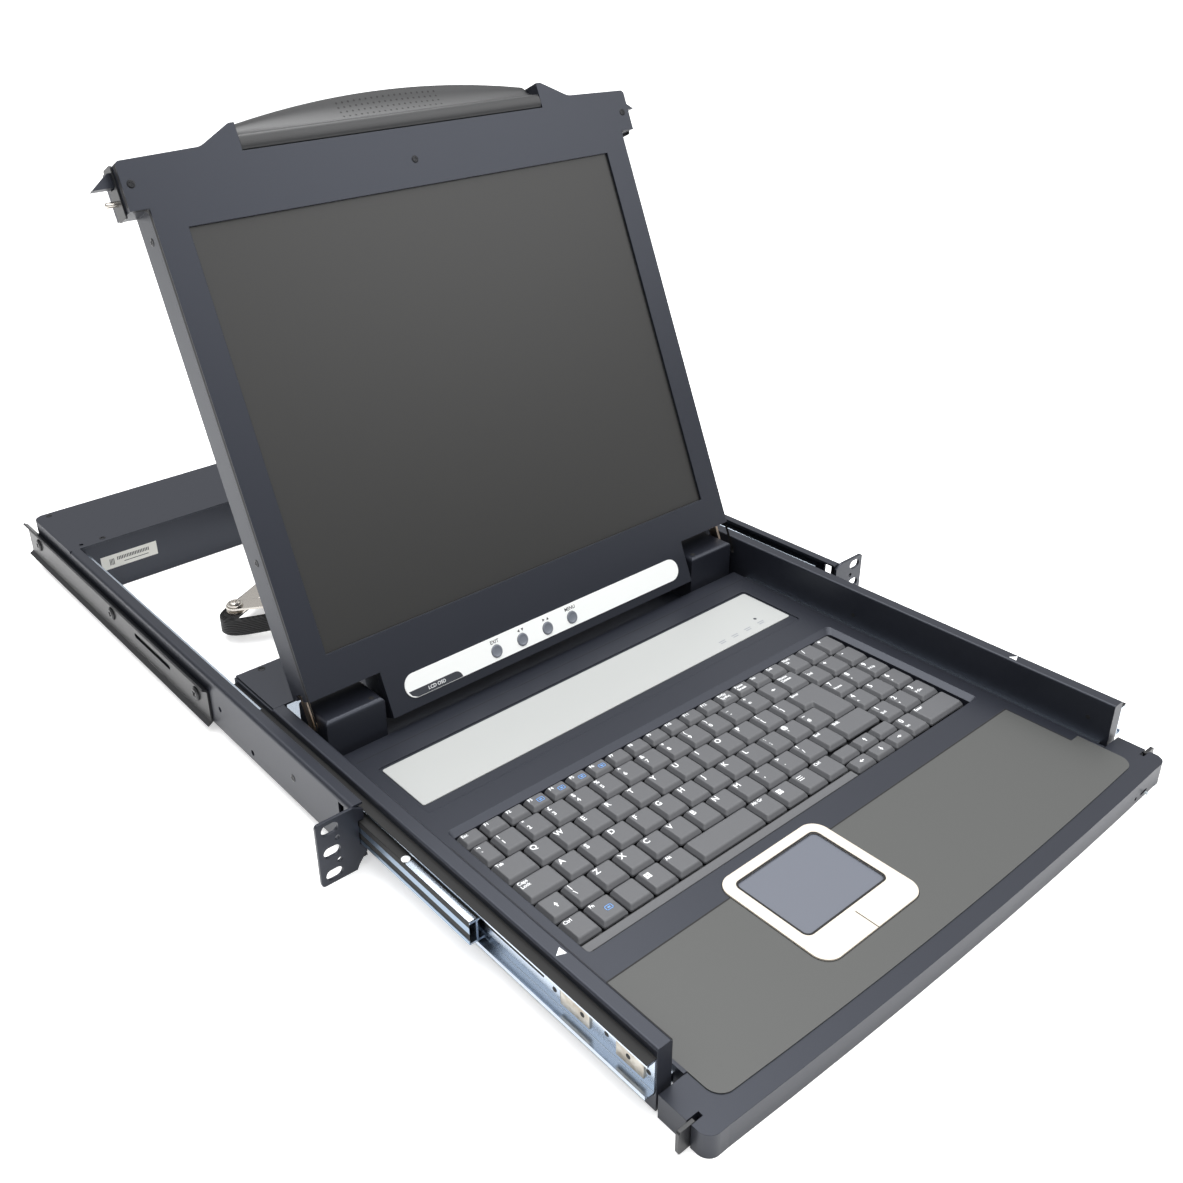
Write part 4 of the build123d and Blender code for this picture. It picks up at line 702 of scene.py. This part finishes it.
# copies of a shape at (point, facing) places, as one plain mesh on one body
def scatter(name, places, shape, material, body, spin=0.0, seed=1):
    mesh = bpy.data.meshes.new(name + "_points")
    mesh.from_pydata([tuple(point) for point, facing in places], [], [])
    attribute = mesh.attributes.new("facing", "FLOAT_VECTOR", "POINT")
    for k, (point, facing) in enumerate(places):
        attribute.data[k].vector = tuple(facing)
    holder = linkObject(name + "_points", mesh)
    bpy.context.scene.collection.objects.link(shape)
    modifier = holder.modifiers.new("place", "NODES")
    modifier.node_group = scatterGroup
    values = {"Shape": shape, "Material": material, "Spin": spin, "Seed": seed}
    for item in scatterGroup.interface.items_tree:
        if item.item_type == "SOCKET" and item.in_out == "INPUT" and item.name in values:
            modifier[item.identifier] = values[item.name]
    holder.update_tag()
    made = evaluatedMesh(holder)
    made.name = name
    holder.modifiers.clear()
    bpy.data.objects.remove(holder)
    bpy.context.scene.collection.objects.unlink(shape)
    piece = linkObject(name, made)
    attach(piece, body)
    return piece


xAxis, yAxis, zAxis = Vector((1, 0, 0)), Vector((0, 1, 0)), Vector((0, 0, 1))

screws = {
    "head": (2.6, 0.35, 3.0, 0.3),
    "trussHead": (5.2, 1.9, 5.0, 1.1),
    "trussOut": 219.25,
    "panel": ((-195.3, 300.5), (194.4, 298.6), (0.7, 288.8)),
    "panelSide": (67, 268),
    "panelHalf": 189.0,
    "sideDepth": 12.5,
    "deck": (184.0, 166, 41.4),
    "cover": ((205.65, 496.5), (188, 425)),
    "coverTop": 43.6,
    "rail": (217.65, 69, 24.7),
    "wall": ((-30.7, 21.6), (-210, 26)),
    "wallHalf": 192.9,
    "truss": (197, 340, 493),
}
bothSides = (-1, 1)


# one place on both sides, facing up
def pairUp(x, y, z):
    return [(trayPoint(side * x, y, z), zAxis) for side in bothSides]


flatHead = crossHead("flat_screw_head", *screws["head"])
scatter(
    "panel_screws", [(panelPoint(x, up, 0), panelOut) for x, up in screws["panel"]],
    flatHead, darkScrew, "display", 1.5, 4)
scatter("panel_side_screws", [
    (panelPoint(side * screws["panelHalf"], up, -screws["sideDepth"]), xAxis * side)
    for side in bothSides for up in screws["panelSide"]], flatHead, darkScrew, "display", 1.5, 5)
scatter("deck_screws", pairUp(*screws["deck"]), flatHead, darkScrew, "console", 1.5, 6)
scatter("cover_screws", [
    (trayPoint(side * x, y, screws["coverTop"]), zAxis)
    for side in bothSides for x, y in screws["cover"]], flatHead, darkScrew, "chassis", 1.5, 7)
x, y, z = screws["rail"]
scatter("rail_screws", [
    (trayPoint(side * x, y, z), xAxis * side) for side in bothSides],
    flatHead, darkScrew, "chassis", 1.5, 8)
scatter("wall_screws", [
    (trayPoint(side * screws["wallHalf"], y, z), xAxis * -side)
    for side in bothSides for y, z in screws["wall"]],
    turnedShape("wall_rivet", ((1.5, 0), (1.5, 0.15), (0.9, 0.22))), darkGapAndShade, "console", 0, 9)
trussHead = crossHead("truss_screw_head", *screws["trussHead"], 32)
trussScrews = scatter("truss_screws", [
    (trayPoint(side * screws["trussOut"], y, 22), xAxis * side)
    for side in bothSides for y in screws["truss"]],
    trussHead, blackSteel, "chassis", 1.5, 10)
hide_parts("bracket_screws")
print("stage: screws")


# handle: an arched grip with a rolled lip and a block of small holes

grip = {
    "half": 119.85,
    "floor": 310.35,
    "seam": 320.6,
    "end": 329.0,
    "middle": 340.0,
    "back": -24.5,
    "lipOut": 0.2,
    "lipSteps": 10,
    "fold": -3.2,
    "frontEdge": -2.2,
    "valley": 8.4,
    "rim": 2.0,
    "cornerRun": 4.0,
    "stations": 65,
    "holePitch": 4.6,
    "holeRadius": 0.75,
    "holeRows": 4,
    "holeColumns": 18,
}


# height of the arched edge, which falls off at its ends
def gripTop(x):
    top = grip["end"] + (grip["middle"] - grip["end"]) * (1 - (x / grip["half"]) ** 2)
    run = min(1.0, (grip["half"] - abs(x)) / grip["cornerRun"])
    return top - 2.2 * (1 - math.sqrt(1 - (1 - run) ** 2))


# outline of the handle at one place, as (up, out)
def gripProfile(x):
    top = gripTop(x)
    low, seam = grip["floor"], grip["seam"]
    outline = [(low, grip["back"]), (low, grip["frontEdge"])]
    steps = grip["lipSteps"]
    for k in range(steps + 1):
        angle = math.pi * (0.12 + 0.88 * k / steps)
        outline.append((
            (low + seam) / 2 - (seam - low) / 2 * math.cos(angle),
            -2.6 + (2.4 + grip["lipOut"]) * math.sin(angle) ** 0.7 if k < steps else grip["fold"]))
    outline.extend(valleyPoint(top, k / steps) for k in range(1, steps + 1))
    bottom = grip["fold"] - grip["valley"]
    outline.extend([
        (top - 0.5, bottom - 0.3), (top, bottom - grip["rim"]),
        (top, grip["back"] + 0.8), (top - 0.8, grip["back"])])
    return outline


# the hollow face above the lip, this share of the way to its top edge
def valleyPoint(top, share):
    rise = top - grip["seam"] - 1.2
    depth = grip["valley"] * math.sin(share * math.pi / 2) ** 0.85
    return grip["seam"] + rise * share, grip["fold"] - depth


gripVertices, gripFaces = [], []
stationCount = grip["stations"]
for k in range(stationCount):
    x = -grip["half"] + 2 * grip["half"] * k / (stationCount - 1)
    profile = gripProfile(x)
    gripVertices.extend(panelPoint(x, up, out) for up, out in profile)
profileSize = len(profile)
for k in range(stationCount - 1):
    low = k * profileSize
    for i in range(profileSize):
        j = (i + 1) % profileSize
        gripFaces.append((low + i, low + profileSize + i, low + profileSize + j, low + j))
gripFaces.append(tuple(range(profileSize)))
lastRing = (stationCount - 1) * profileSize
gripFaces.append(tuple(reversed(range(lastRing, lastRing + profileSize))))
gripPiece = newPiece("grip", gripVertices, gripFaces, blackPlastic, "display", "black_plastic")
for polygon in gripPiece.data.polygons:
    polygon.use_smooth = True
gripPiece.data.set_sharp_from_angle(angle=math.radians(40))
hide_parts("handle")


# point and facing on the hollow face
def gripSurface(x, rise):
    top = gripTop(x)
    up, out = valleyPoint(top, rise)
    nextUp, nextOut = valleyPoint(top, rise + 0.02)
    slope = panelUp * (nextUp - up) + panelOut * (nextOut - out)
    facing = xAxis.cross(slope).normalized()
    if facing.dot(panelOut) < 0:
        facing = -facing
    return panelPoint(x, up, out), facing


holePlaces = []
for row in range(grip["holeRows"]):
    for column in range(grip["holeColumns"]):
        x = (column - (grip["holeColumns"] - 1) / 2) * grip["holePitch"]
        point, facing = gripSurface(x, 0.2 + row * 0.2)
        holePlaces.append((point - facing * (0.05 * mm), facing))
scatter(
    "grip_holes", holePlaces,
    turnedShape("grip_hole", ((grip["holeRadius"], 0), (grip["holeRadius"], 0.1)), 12),
    darkGapAndShade, "display")
print("stage: handle")


# printed marks, seams and small fittings

def flatPatch(name, polygons, placePoint, height, material, body):
    vertices, faces = [], []
    for polygon in polygons:
        addShape(vertices, faces, polygon, placePoint, height)
    return newPiece(name, vertices, faces, material, body)


marks = {
    "print": 0.03,
    "trayTop": 15.6,
    "plateTop": 15.3,
    "wallTop": 41.4,
    "boxFront": 419.0,
    "wall": ((-195.6, -151.2), (-200.4, -154.6), (-195.2, -156.6)),
    "seams": (
        (-176.8, -164, -176.45, -35), (-175, 66.3, 182.6, 66.65), (-184.4, -164.6, -184.1, 66),
        (184.0, -164, 184.3, 66)),
    "statusAcross": (102.5, 115.8, 129.5, 143.8),
    "statusLight": (144, 20, 14.75),
    "portLight": (177, -260.0, 4.1),
    "label": (-195, 17.5, -147, 29.5),
}
flatPatch("wall_marks", [
    [(side * x, y) for x, y in marks["wall"]][::-side] for side in bothSides],
    trayPoint, marks["wallTop"] + marks["print"], whiteInk, "console")
flatPatch(
    "tray_seams", [rectangleAt(*seam) for seam in marks["seams"]], trayPoint,
    marks["trayTop"] + marks["print"], darkGapAndShade, "keyboard_module")
flatPatch("status_prints", [
    rectangleAt(x - 3.4, 14.1 - k * 2.0, x + 3.2 - k * 1.2, 15.2 - k * 2.0)
    for x in marks["statusAcross"] for k in range(2)],
    trayPoint, marks["plateTop"] + marks["print"], greyInk, "keyboard_module")
scatter("status_light", [(trayPoint(*marks["statusLight"]), zAxis)],
        turnedShape("light_dome", ((1.2, 0), (1.2, 0.5), (0.8, 0.75)), 16),
        darkFilm, "keyboard_module")
scatter("port_light", [(trayPoint(*marks["portLight"]), -yAxis)],
        turnedShape("light_lens", ((0.95, -1.2), (0.95, 0.2), (0.6, 0.4)), 12),
        clearLens, "keyboard_module")


# on the front wall of the rear box: across, up and forward from it
def frontPoint(x, z, y):
    return trayPoint(x, marks["boxFront"] - y, z)


flatPatch(
    "rear_label", [rectangleAt(*marks["label"])], frontPoint, marks["print"] * 2,
    labelPaper, "chassis")
flatPatch("rear_label_bars", [
    rectangleAt(-188.0 + k * 1.1, 20.5, -187.4 + k * 1.1, 26.0) for k in range(4)]
    + [rectangleAt(-181.5 + k * 1.4, 23.5, -180.7 + k * 1.4, 26.5) for k in range(20)]
    + [rectangleAt(-176.0, 20.6, -155.0, 21.2)], frontPoint, marks["print"] * 4, darkInk, "chassis")
print("stage: marks and seams")


# control strip: darker tab, button caps and generic legends

strip = {
    "tabLeft": -123.0,
    "tabRight": -80.0,
    "low": -49.3,
    "high": -44.0,
    "wordSize": 3.3,
    "legendUp": -36.3,
    "legendSize": 3.5,
    "surface": 0.63,
    "buttons": (-49.0, -26.3, -3.5, 19.3),
    "buttonUp": -43.0,
}
tabRadius = strip["high"] - strip["low"]
tabOutline = [(strip["tabLeft"] + 6.5, strip["low"]), (strip["tabRight"], strip["low"])]
for k in range(9):
    angle = math.pi / 2 * k / 8
    tabOutline.append((
        strip["tabRight"] - tabRadius + tabRadius * math.cos(angle),
        strip["low"] + tabRadius * math.sin(angle)))
tabOutline.extend([
    (strip["tabLeft"] + 0.6, strip["high"]), (strip["tabLeft"] + 2.6, strip["low"] + 2.0)])
flatPatch("strip_tab", [tabOutline], panelPoint, strip["surface"], darkFilm, "display")
wordLists = ([], [])
addText(
    *wordLists, "LCD OSD", strip["wordSize"], (strip["tabLeft"] + strip["tabRight"]) / 2 + 1,
    (strip["low"] + strip["high"]) / 2, panelPoint, strip["surface"] + 0.03)
newPiece("strip_tab_words", *wordLists, whiteInk, "display")

stripLists = ([], [])
buttons = strip["buttons"]
up, surface = strip["legendUp"], strip["surface"]
for word, x in (("EXIT", buttons[0]), ("MENU", buttons[3])):
    addText(*stripLists, word, strip["legendSize"], x, up, panelPoint, surface)
for x, side in ((buttons[1], -1), (buttons[2], 1)):
    sideArrow = [(x - 2.6, up), (x - 0.6, up + side * 1.1), (x - 0.6, up - side * 1.1)]
    if side > 0:
        sideArrow = [(x - 0.6, up), (x - 2.6, up + 1.1), (x - 2.6, up - 1.1)]
    addShape(*stripLists, sideArrow, panelPoint, surface)
    tip = [(x + 0.8, up - side), (x + 3.0, up - side), (x + 1.9, up + side)]
    addShape(*stripLists, tip[::side], panelPoint, surface)
newPiece("strip_legends", *stripLists, darkInk, "display")
for x, name in zip(buttons, ("exit", "down", "up", "menu")):
    cap = scatter(
        "osd_cap_" + name, [(panelPoint(x, strip["buttonUp"], 0.6), panelOut)],
        turnedShape("button_cap", (
            (4.45, -3.8), (4.45, 0.35), (4.1, 0.65), (3.3, 0.69), (2.7, 0.4), (1.2, 0.25)), 32),
        buttonPlastic, "osd_button_" + name)
    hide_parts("osd_button_" + name)
print("stage: control strip")


# slides: thin boxes on the walls and members, the same on both sides; the dark boxes over the slide
# tops and the middle members' upper faces are painted shade

# (y from, y to, z from, z to, x from, x to)
skins = {
    "slide_strip": (zincSteel, "console", (
        (-162, -40, 21.8, 28.2, 203.55, 204.5), (-219, -201, 29.0, 30.4, 203.55, 204.6))),
    "slide_plates": (paleZinc, "console", (
        (-183, -162.4, 19.6, 30.4, 203.55, 204.6), (-219, -201, 19.6, 30.4, 203.55, 204.6))),
    "fixed_slide_lip": (zincSteel, "chassis", ((130, 416, 36.4, 37.2, 204.2, 216.0),)),
    # painted shade: a dark sheet over the slide top under the wall flange, standing in for its
    # shade and dark reflection
    "wall_return": (darkGapAndShade, "console", ((-224.6, 169.0, 36.05, 36.5, 202.3, 208.7),)),
    # painted shade: a dark sheet over the top of the middle members, in place of their shade and
    # dark reflection
    "middle_return": (darkGapAndShade, "middle_slides", ((-102.8, 286.8, 32.55, 32.75, 205.0, 213.67),)),
    "middle_strip": (zincSteel, "middle_slides", ((-102.6, -46, 32.75, 33.0, 209.2, 213.7),)),
    # painted shade: a dark band on the upper outer face of the middle members
    "middle_groove": (darkGapAndShade, "middle_slides", ((-102.6, 60, 28.6, 32.5, 213.7, 213.82),)),
    "middle_web": (blueZinc, "middle_slides", ((-102.6, 60, 24.6, 28.6, 213.7, 213.9),)),
    "middle_shade": (darkGapAndShade, "middle_slides", ((-102.6, 60, 20.2, 24.6, 213.7, 213.82),)),
    "middle_lip": (blueZinc, "middle_slides", ((-102.6, 60, 17.6, 20.2, 213.7, 214.2),)),
    "drawer_lip": (zincSteel, "console", ((-224.5, -4, 14.1, 16.6, 208.3, 209.0),)),
    "drawer_groove": (darkGapAndShade, "console", ((-150, -103.2, 26.6, 28.4, 203.5, 204.75),)),
}


def boxOn(vertices, faces, side, y0, y1, z0, z1, x0, x1):
    def place(y, z, x):
        return trayPoint(side * x, y, z)

    outline = [Vector(p) for p in rectangleAt(y0, z0, y1, z1)][::side]
    ringSolid(vertices, faces, [(outline, x0), (outline, x1)], place)


for name, (material, body, boxes) in skins.items():
    skinLists = ([], [])
    for side in bothSides:
        for box in boxes:
            boxOn(*skinLists, side, *box)
    skin = newPiece(name, *skinLists, material, body)
    if name == "slide_strip":
        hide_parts("latch_plates")
fittings = {
    "plateHoles": (-158, -209, -178),
    "webHoles": (-193.5, -221),
    "holeRadius": 1.5,
    "roller": (211.4, -43, 33.1),
    "rollerRadius": 2.6,
    "coverHole": (147.6, 88.2, 41.35),
    "coverHoleRadius": 1.9,
}
scatter("slide_holes", [
    (trayPoint(side * x, y, 25), xAxis * side)
    for x, rears in ((204.6, fittings["plateHoles"]), (203.5, fittings["webHoles"]))
    for side in bothSides for y in rears],
    turnedShape("plate_hole", ((fittings["holeRadius"], -0.3), (fittings["holeRadius"], 0.04)), 16),
    darkGapAndShade, "console")
radius = fittings["rollerRadius"]
scatter(
    "strip_rollers", pairUp(*fittings["roller"]),
    turnedShape("strip_roller", ((radius, -0.4), (radius, 0.0), (2.2, 0.1), (0.8, 0.1)), 20),
    whitePlastic, "middle_slides")
radius = fittings["coverHoleRadius"]
scatter(
    "hinge_screws", pairUp(*fittings["coverHole"]),
    turnedShape("cover_hole", ((radius, -0.3), (radius, 0.08)), 16), darkGapAndShade, "console")
print("stage: slides and hinge covers")


# edge lines and small pieces of the tray and the display

edges = {
    "padRing": 1.3,
    "pad": (-78.75, -210.0, -12.0, -159.75),
    "padCorner": 4.0,
    "bezel": (-86.7, -229.0, -4.5, -153.0),
    "bezelCorner": 10.0,
    "bezelTop": 16.5,
    "filmTop": 15.6,
    "split": (-46.3, -229.0, -45.7, -214.6),
    "join": (-86.0, -214.0, -5.2, -213.1),
    "palm": (
        (-176.6, -165.1, -87.5, -164.2), (-3.7, -165.1, 176.6, -164.2),
        (-177.1, -209.8, -176.4, -164.5), (176.4, -209.8, 177.1, -164.5)),
    "bar": (-169.0, -143.0, 52.0, -137.0),
    "barBase": 9.2,
    "barTop": 13.16,
}


# line round a rectangle, its outer and inner edge given as (inset, corner radius)
def lineRing(vertices, faces, shape, outer, inner, height):
    start = len(vertices)
    for inset, radius in (outer, inner):
        ring = roundPolygon(insetPolygon(shape, inset), radius, 6)
        vertices.extend(trayPoint(p.x, p.y, height) for p in ring)
    ringFaces(faces, start, len(ring), 2)


padLists = ([], [])
half, corner = 0.5 * edges["padRing"], edges["padCorner"]
lineRing(
    *padLists, rectangleAt(*edges["pad"]), (-half, corner + 0.6), (half, corner - 0.6),
    edges["bezelTop"] + 0.02)
corner = edges["bezelCorner"]
lineRing(
    *padLists, rectangleAt(*edges["bezel"]), (-0.55, corner + 0.5), (-0.05, corner),
    edges["filmTop"] + 0.05)
newPiece("touchpad_lines", *padLists, darkGapAndShade, "keyboard_module")
flatPatch(
    "bezel_join", [rectangleAt(*edges["join"])], trayPoint, edges["bezelTop"] + 0.02,
    champagne, "keyboard_module")
flatPatch(
    "button_split", [rectangleAt(*edges["split"])], trayPoint, edges["bezelTop"] + 0.03,
    darkGapAndShade, "keyboard_module")
flatPatch(
    "palm_lines", [rectangleAt(*line) for line in edges["palm"]], trayPoint,
    edges["filmTop"] + 0.04, darkGapAndShade, "keyboard_module")

barLists = ([], [])
bar = [Vector(p) for p in rectangleAt(*edges["bar"])]
barTop = edges["barTop"]
ringSolid(*barLists, [
    (bar, edges["barBase"]), (bar, barTop - 0.4), (insetPolygon(bar, 0.4), barTop)], trayPoint)
newPiece("keyboard_frame_bar", *barLists, keyPlastic, "keyboard_module")

outline = {
    "half": 189.0,
    "low": -50.0,
    "ear": 201.0,
    "earUp": 285.0,
    "top": 314.5,
    "crownX": 146.3,
    "crownUp": 316.2,
    "corner": 3.0,
    "front": -0.9,
    "rear": -3.3,
    "lift": 0.05,
}


def partingLine(side):
    corners = [
        (outline["half"], outline["low"]), (outline["half"], outline["earUp"]),
        (outline["ear"], outline["earUp"]), (outline["ear"], outline["top"]),
        (outline["crownX"], outline["crownUp"]),
        (outline["crownX"] - 30, outline["low"])]
    grown = roundPolygon(insetPolygon(corners, -outline["lift"]), outline["corner"], 4)
    line = grown[2:24]
    vertices, faces = [], []
    for p in line:
        vertices.append(panelPoint(side * p.x, p.y, outline["front"]))
        vertices.append(panelPoint(side * p.x, p.y, outline["rear"]))
    for k in range(len(line) - 1):
        face = (2 * k, 2 * k + 1, 2 * k + 3, 2 * k + 2)
        faces.append(face if side < 0 else tuple(reversed(face)))
    return vertices, faces


for side, name in ((-1, "left"), (1, "right")):
    newPiece("parting_line_" + name, *partingLine(side), darkGapAndShade, "display")
print("stage: edge lines")


# catches of the display: a dark wedge and a nickel bolt on each side

catch = {
    "inner": 196.0,
    "reach": 215.0,
    "low": 302.0,
    "high": 310.5,
    "shoulder": 204.0,
    "front": -9.0,
    "rear": -15.0,
    "boltUp": 293.0,
    "boltOut": -12.0,
    "boltRadius": 1.8,
}
for side, name in ((-1, "left"), (1, "right")):
    wedgeLists = ([], [])
    shape = [Vector((side * x, up)) for x, up in (
        (catch["inner"], catch["low"]), (catch["reach"], catch["low"]),
        (catch["reach"] - 0.3, catch["low"] + 0.6), (catch["shoulder"], catch["high"]),
        (catch["inner"], catch["high"]))][::side]
    ringSolid(*wedgeLists, [(shape, catch["rear"]), (shape, catch["front"])], panelPoint)
    body = "lcd_catch_" + name
    newPiece("catch_wedge_" + name, *wedgeLists, powderCoat, body)
    radius = catch["boltRadius"]
    bolt = scatter(
        "catch_bolt_" + name,
        [(panelPoint(side * catch["inner"], catch["boltUp"], catch["boltOut"]), xAxis * side)],
        turnedShape("catch_bolt", (
            (radius, 0), (radius, 12.6), (0.9 * radius, 13.3), (0.5 * radius, 13.9),
            (0.1 * radius, 14.0)), 20),
        nickelSteel, body)
    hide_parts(body)
print("stage: catches")


# cable arm: one braided band round the elbow, and the heads of its rivets

band = {
    "route": (
        (14.4, 386.9), (-40.0, 353.0), (-96.0, 320.0), (-124.0, 304.5), (-140.1, 296.0),
        (-149.5, 291.5), (-154.8, 287.5), (-156.4, 282.5), (-155.0, 277.0), (-149.5, 272.0),
        (-140.1, 267.5), (-124.0, 261.5), (-96.0, 246.0), (-40.0, 213.0), (22.9, 174.0)),
    "low": 5.6,
    "height": 13.9,
    "thickness": 4.4,
    "ridges": 3,
    "groove": 0.8,
    "elbowScrew": (-145, 283, 27.05),
    "plateScrew": (-118, 267.4, 25.5),
}


def smoothRoute(points):
    curve = bpy.data.curves.new("route", "CURVE")
    curve.dimensions = "3D"
    curve.resolution_u = 8
    spline = curve.splines.new("NURBS")
    spline.points.add(len(points) - 1)
    for place, (x, y) in zip(spline.points, points):
        place.co = (x * mm, y * mm, 0, 1)
    spline.order_u = 3
    spline.use_endpoint_u = True
    return takeCurve(curve)[0]


def bandSection():
    half = band["thickness"] / 2
    height = band["height"]
    section = [(half, 1.0), (half, height - 1.0)]
    steps = 4 * band["ridges"]
    for k in range(1, steps):
        share = k / steps
        groove = band["groove"] * abs(math.cos(share * math.pi * band["ridges"]))
        section.append((half * (1 - 2 * share), height - groove))
    section.extend([(-half, height - 1.0), (-half, 1.0), (-half + 1.0, 0.0), (half - 1.0, 0.0)])
    return section


route = smoothRoute(band["route"])
section = bandSection()
bandVertices, bandFaces = [], []
for k, point in enumerate(route):
    ahead = (route[min(k + 1, len(route) - 1)] - route[max(k - 1, 0)]).normalized()
    across = Vector((ahead.y, -ahead.x, 0))
    for offset, up in section:
        bandVertices.append(point + across * (offset * mm) + zAxis * ((band["low"] + up) * mm))
count = len(section)
ringFaces(bandFaces, 0, count, len(route))
bandFaces.append(tuple(reversed(range(count))))
bandFaces.append(tuple(range((len(route) - 1) * count, len(route) * count)))
bandMesh = bpy.data.meshes.new("arm_band")
bandMesh.from_pydata([tuple(v) for v in bandVertices], [], bandFaces)
bandMesh.materials.append(braidedSleeve)
bandMesh.validate()
shell = bmesh.new()
shell.from_mesh(bandMesh)
bmesh.ops.recalc_face_normals(shell, faces=shell.faces)
shell.to_mesh(bandMesh)
shell.free()
armBand = linkObject("arm_band", bandMesh)
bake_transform(armBand)
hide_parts("sleeve_rear", "sleeve_front")

armHead = crossHead("arm_screw_head", 4.4, 1.7, 4.2, 0.9, 28)
for name, place, body, seed in (
        ("arm_elbow_screw", band["elbowScrew"], "rear_link", 12),
        ("arm_plate_screw", band["plateScrew"], "front_link", 13)):
    scatter(name, [(trayPoint(*place), zAxis)], armHead, nickelSteel, body, 1.5, seed)
print("stage: cable arm")


# camera, light and floor

studio = {
    "floorColour": "#f3f3f3",
    "skyStrength": 1.0,
    "horizon": 0.08,
    "middle": 0.5,
    "zenith": 2.4,
    "boxSize": 1.3,
    "topPower": 17.0,
    "topPlace": (0.1, 0.5, 1.5),
    "topTarget": (0, 0, 0.05),
    "frontPower": 16.0,
    "frontPlace": (1.15, -1.1, 1.45),
    "frontTarget": (0, 0.25, 0.3),
    "floorGlow": 0.45,
    "floorSize": 30.0,
}
view = {
    "sensor": 36,
    "lens": 37.258,
    "shift": (0.0618, -0.0389),
    "place": (-0.47687, -0.48504, 0.48340),
    "turn": (1.06095053, -0.350582, -0.62697677),
}
cameraData = bpy.data.cameras.new("camera")
cameraData.sensor_width = view["sensor"]
cameraData.lens = view["lens"]
cameraData.shift_x, cameraData.shift_y = view["shift"]
cameraData.clip_start = 0.02
camera = linkObject("camera", cameraData)
turn = Vector(view["turn"])
camera.matrix_world = Matrix.Translation(view["place"]) @ Matrix.Rotation(
    turn.length, 4, turn.normalized())
bpy.context.scene.camera = camera

world = bpy.data.worlds.new("studio")
bpy.context.scene.world = world
world.use_nodes = True
tree = world.node_tree
skyLight = tree.nodes["Background"]
skyLight.inputs["Color"].default_value = (1, 1, 1, 1)
skyLight.inputs["Strength"].default_value = studio["skyStrength"]
direction = tree.nodes.new("ShaderNodeTexCoord")
splitter = tree.nodes.new("ShaderNodeSeparateXYZ")
ramp = tree.nodes.new("ShaderNodeValToRGB")
levels = ((0.05, studio["horizon"]), (0.45, studio["middle"]), (0.95, studio["zenith"]))
ramp.color_ramp.elements.new(levels[1][0])
for element, (position, level) in zip(ramp.color_ramp.elements, levels):
    element.position = position
    element.color = (level, level, level, 1)
backdrop = tree.nodes.new("ShaderNodeBackground")
backdrop.inputs["Color"].default_value = (1, 1, 1, 1)
rays = tree.nodes.new("ShaderNodeLightPath")
chooser = tree.nodes.new("ShaderNodeMixShader")
for fromSocket, toSocket in (
        (direction.outputs["Generated"], splitter.inputs["Vector"]),
        (splitter.outputs["Z"], ramp.inputs["Fac"]),
        (ramp.outputs["Color"], skyLight.inputs["Color"]),
        (rays.outputs["Is Camera Ray"], chooser.inputs["Fac"]),
        (skyLight.outputs["Background"], chooser.inputs[1]),
        (backdrop.outputs["Background"], chooser.inputs[2]),
        (chooser.outputs["Shader"], tree.nodes["World Output"].inputs["Surface"])):
    tree.links.new(fromSocket, toSocket)


for name in ("top", "front"):
    lamp = bpy.data.lights.new(name + "_box", "AREA")
    lamp.size = studio["boxSize"]
    lamp.energy = studio[name + "Power"]
    light = linkObject(name + "_box", lamp)
    light.location = studio[name + "Place"]
    aim = Vector(studio[name + "Target"]) - Vector(studio[name + "Place"])
    light.rotation_euler = aim.to_track_quat("-Z", "Y").to_euler()

floorMaterial, floorShader = basicMaterial("studio_floor", studio["floorColour"], 0.9)
floorRays = addNode(floorMaterial, "ShaderNodeLightPath")
floorGlow = addNode(floorMaterial, "ShaderNodeMath")
floorGlow.operation = "MULTIPLY"
floorGlow.inputs[1].default_value = studio["floorGlow"]
floorSeen = addNode(floorMaterial, "ShaderNodeMath")
floorSeen.operation = "MAXIMUM"
wire(floorMaterial, floorRays.outputs["Is Camera Ray"], floorSeen.inputs[0])
wire(floorMaterial, floorRays.outputs["Is Glossy Ray"], floorSeen.inputs[1])
wire(floorMaterial, floorSeen.outputs["Value"], floorGlow.inputs[0])
wire(floorMaterial, floorGlow.outputs["Value"], floorShader.inputs["Emission Strength"])
floorShader.inputs["Emission Color"].default_value = (1, 1, 1, 1)
size = studio["floorSize"]
floorMesh = bpy.data.meshes.new("floor")
floorMesh.from_pydata(
    [(x, y, 0) for x, y in rectangleAt(-size, -size, size, size)], [], [(0, 1, 2, 3)])
floorMesh.materials.append(floorMaterial)
floor = linkObject("floor", floorMesh)
bpy.context.scene.view_settings.view_transform = "Standard"
print("stage: camera and studio")
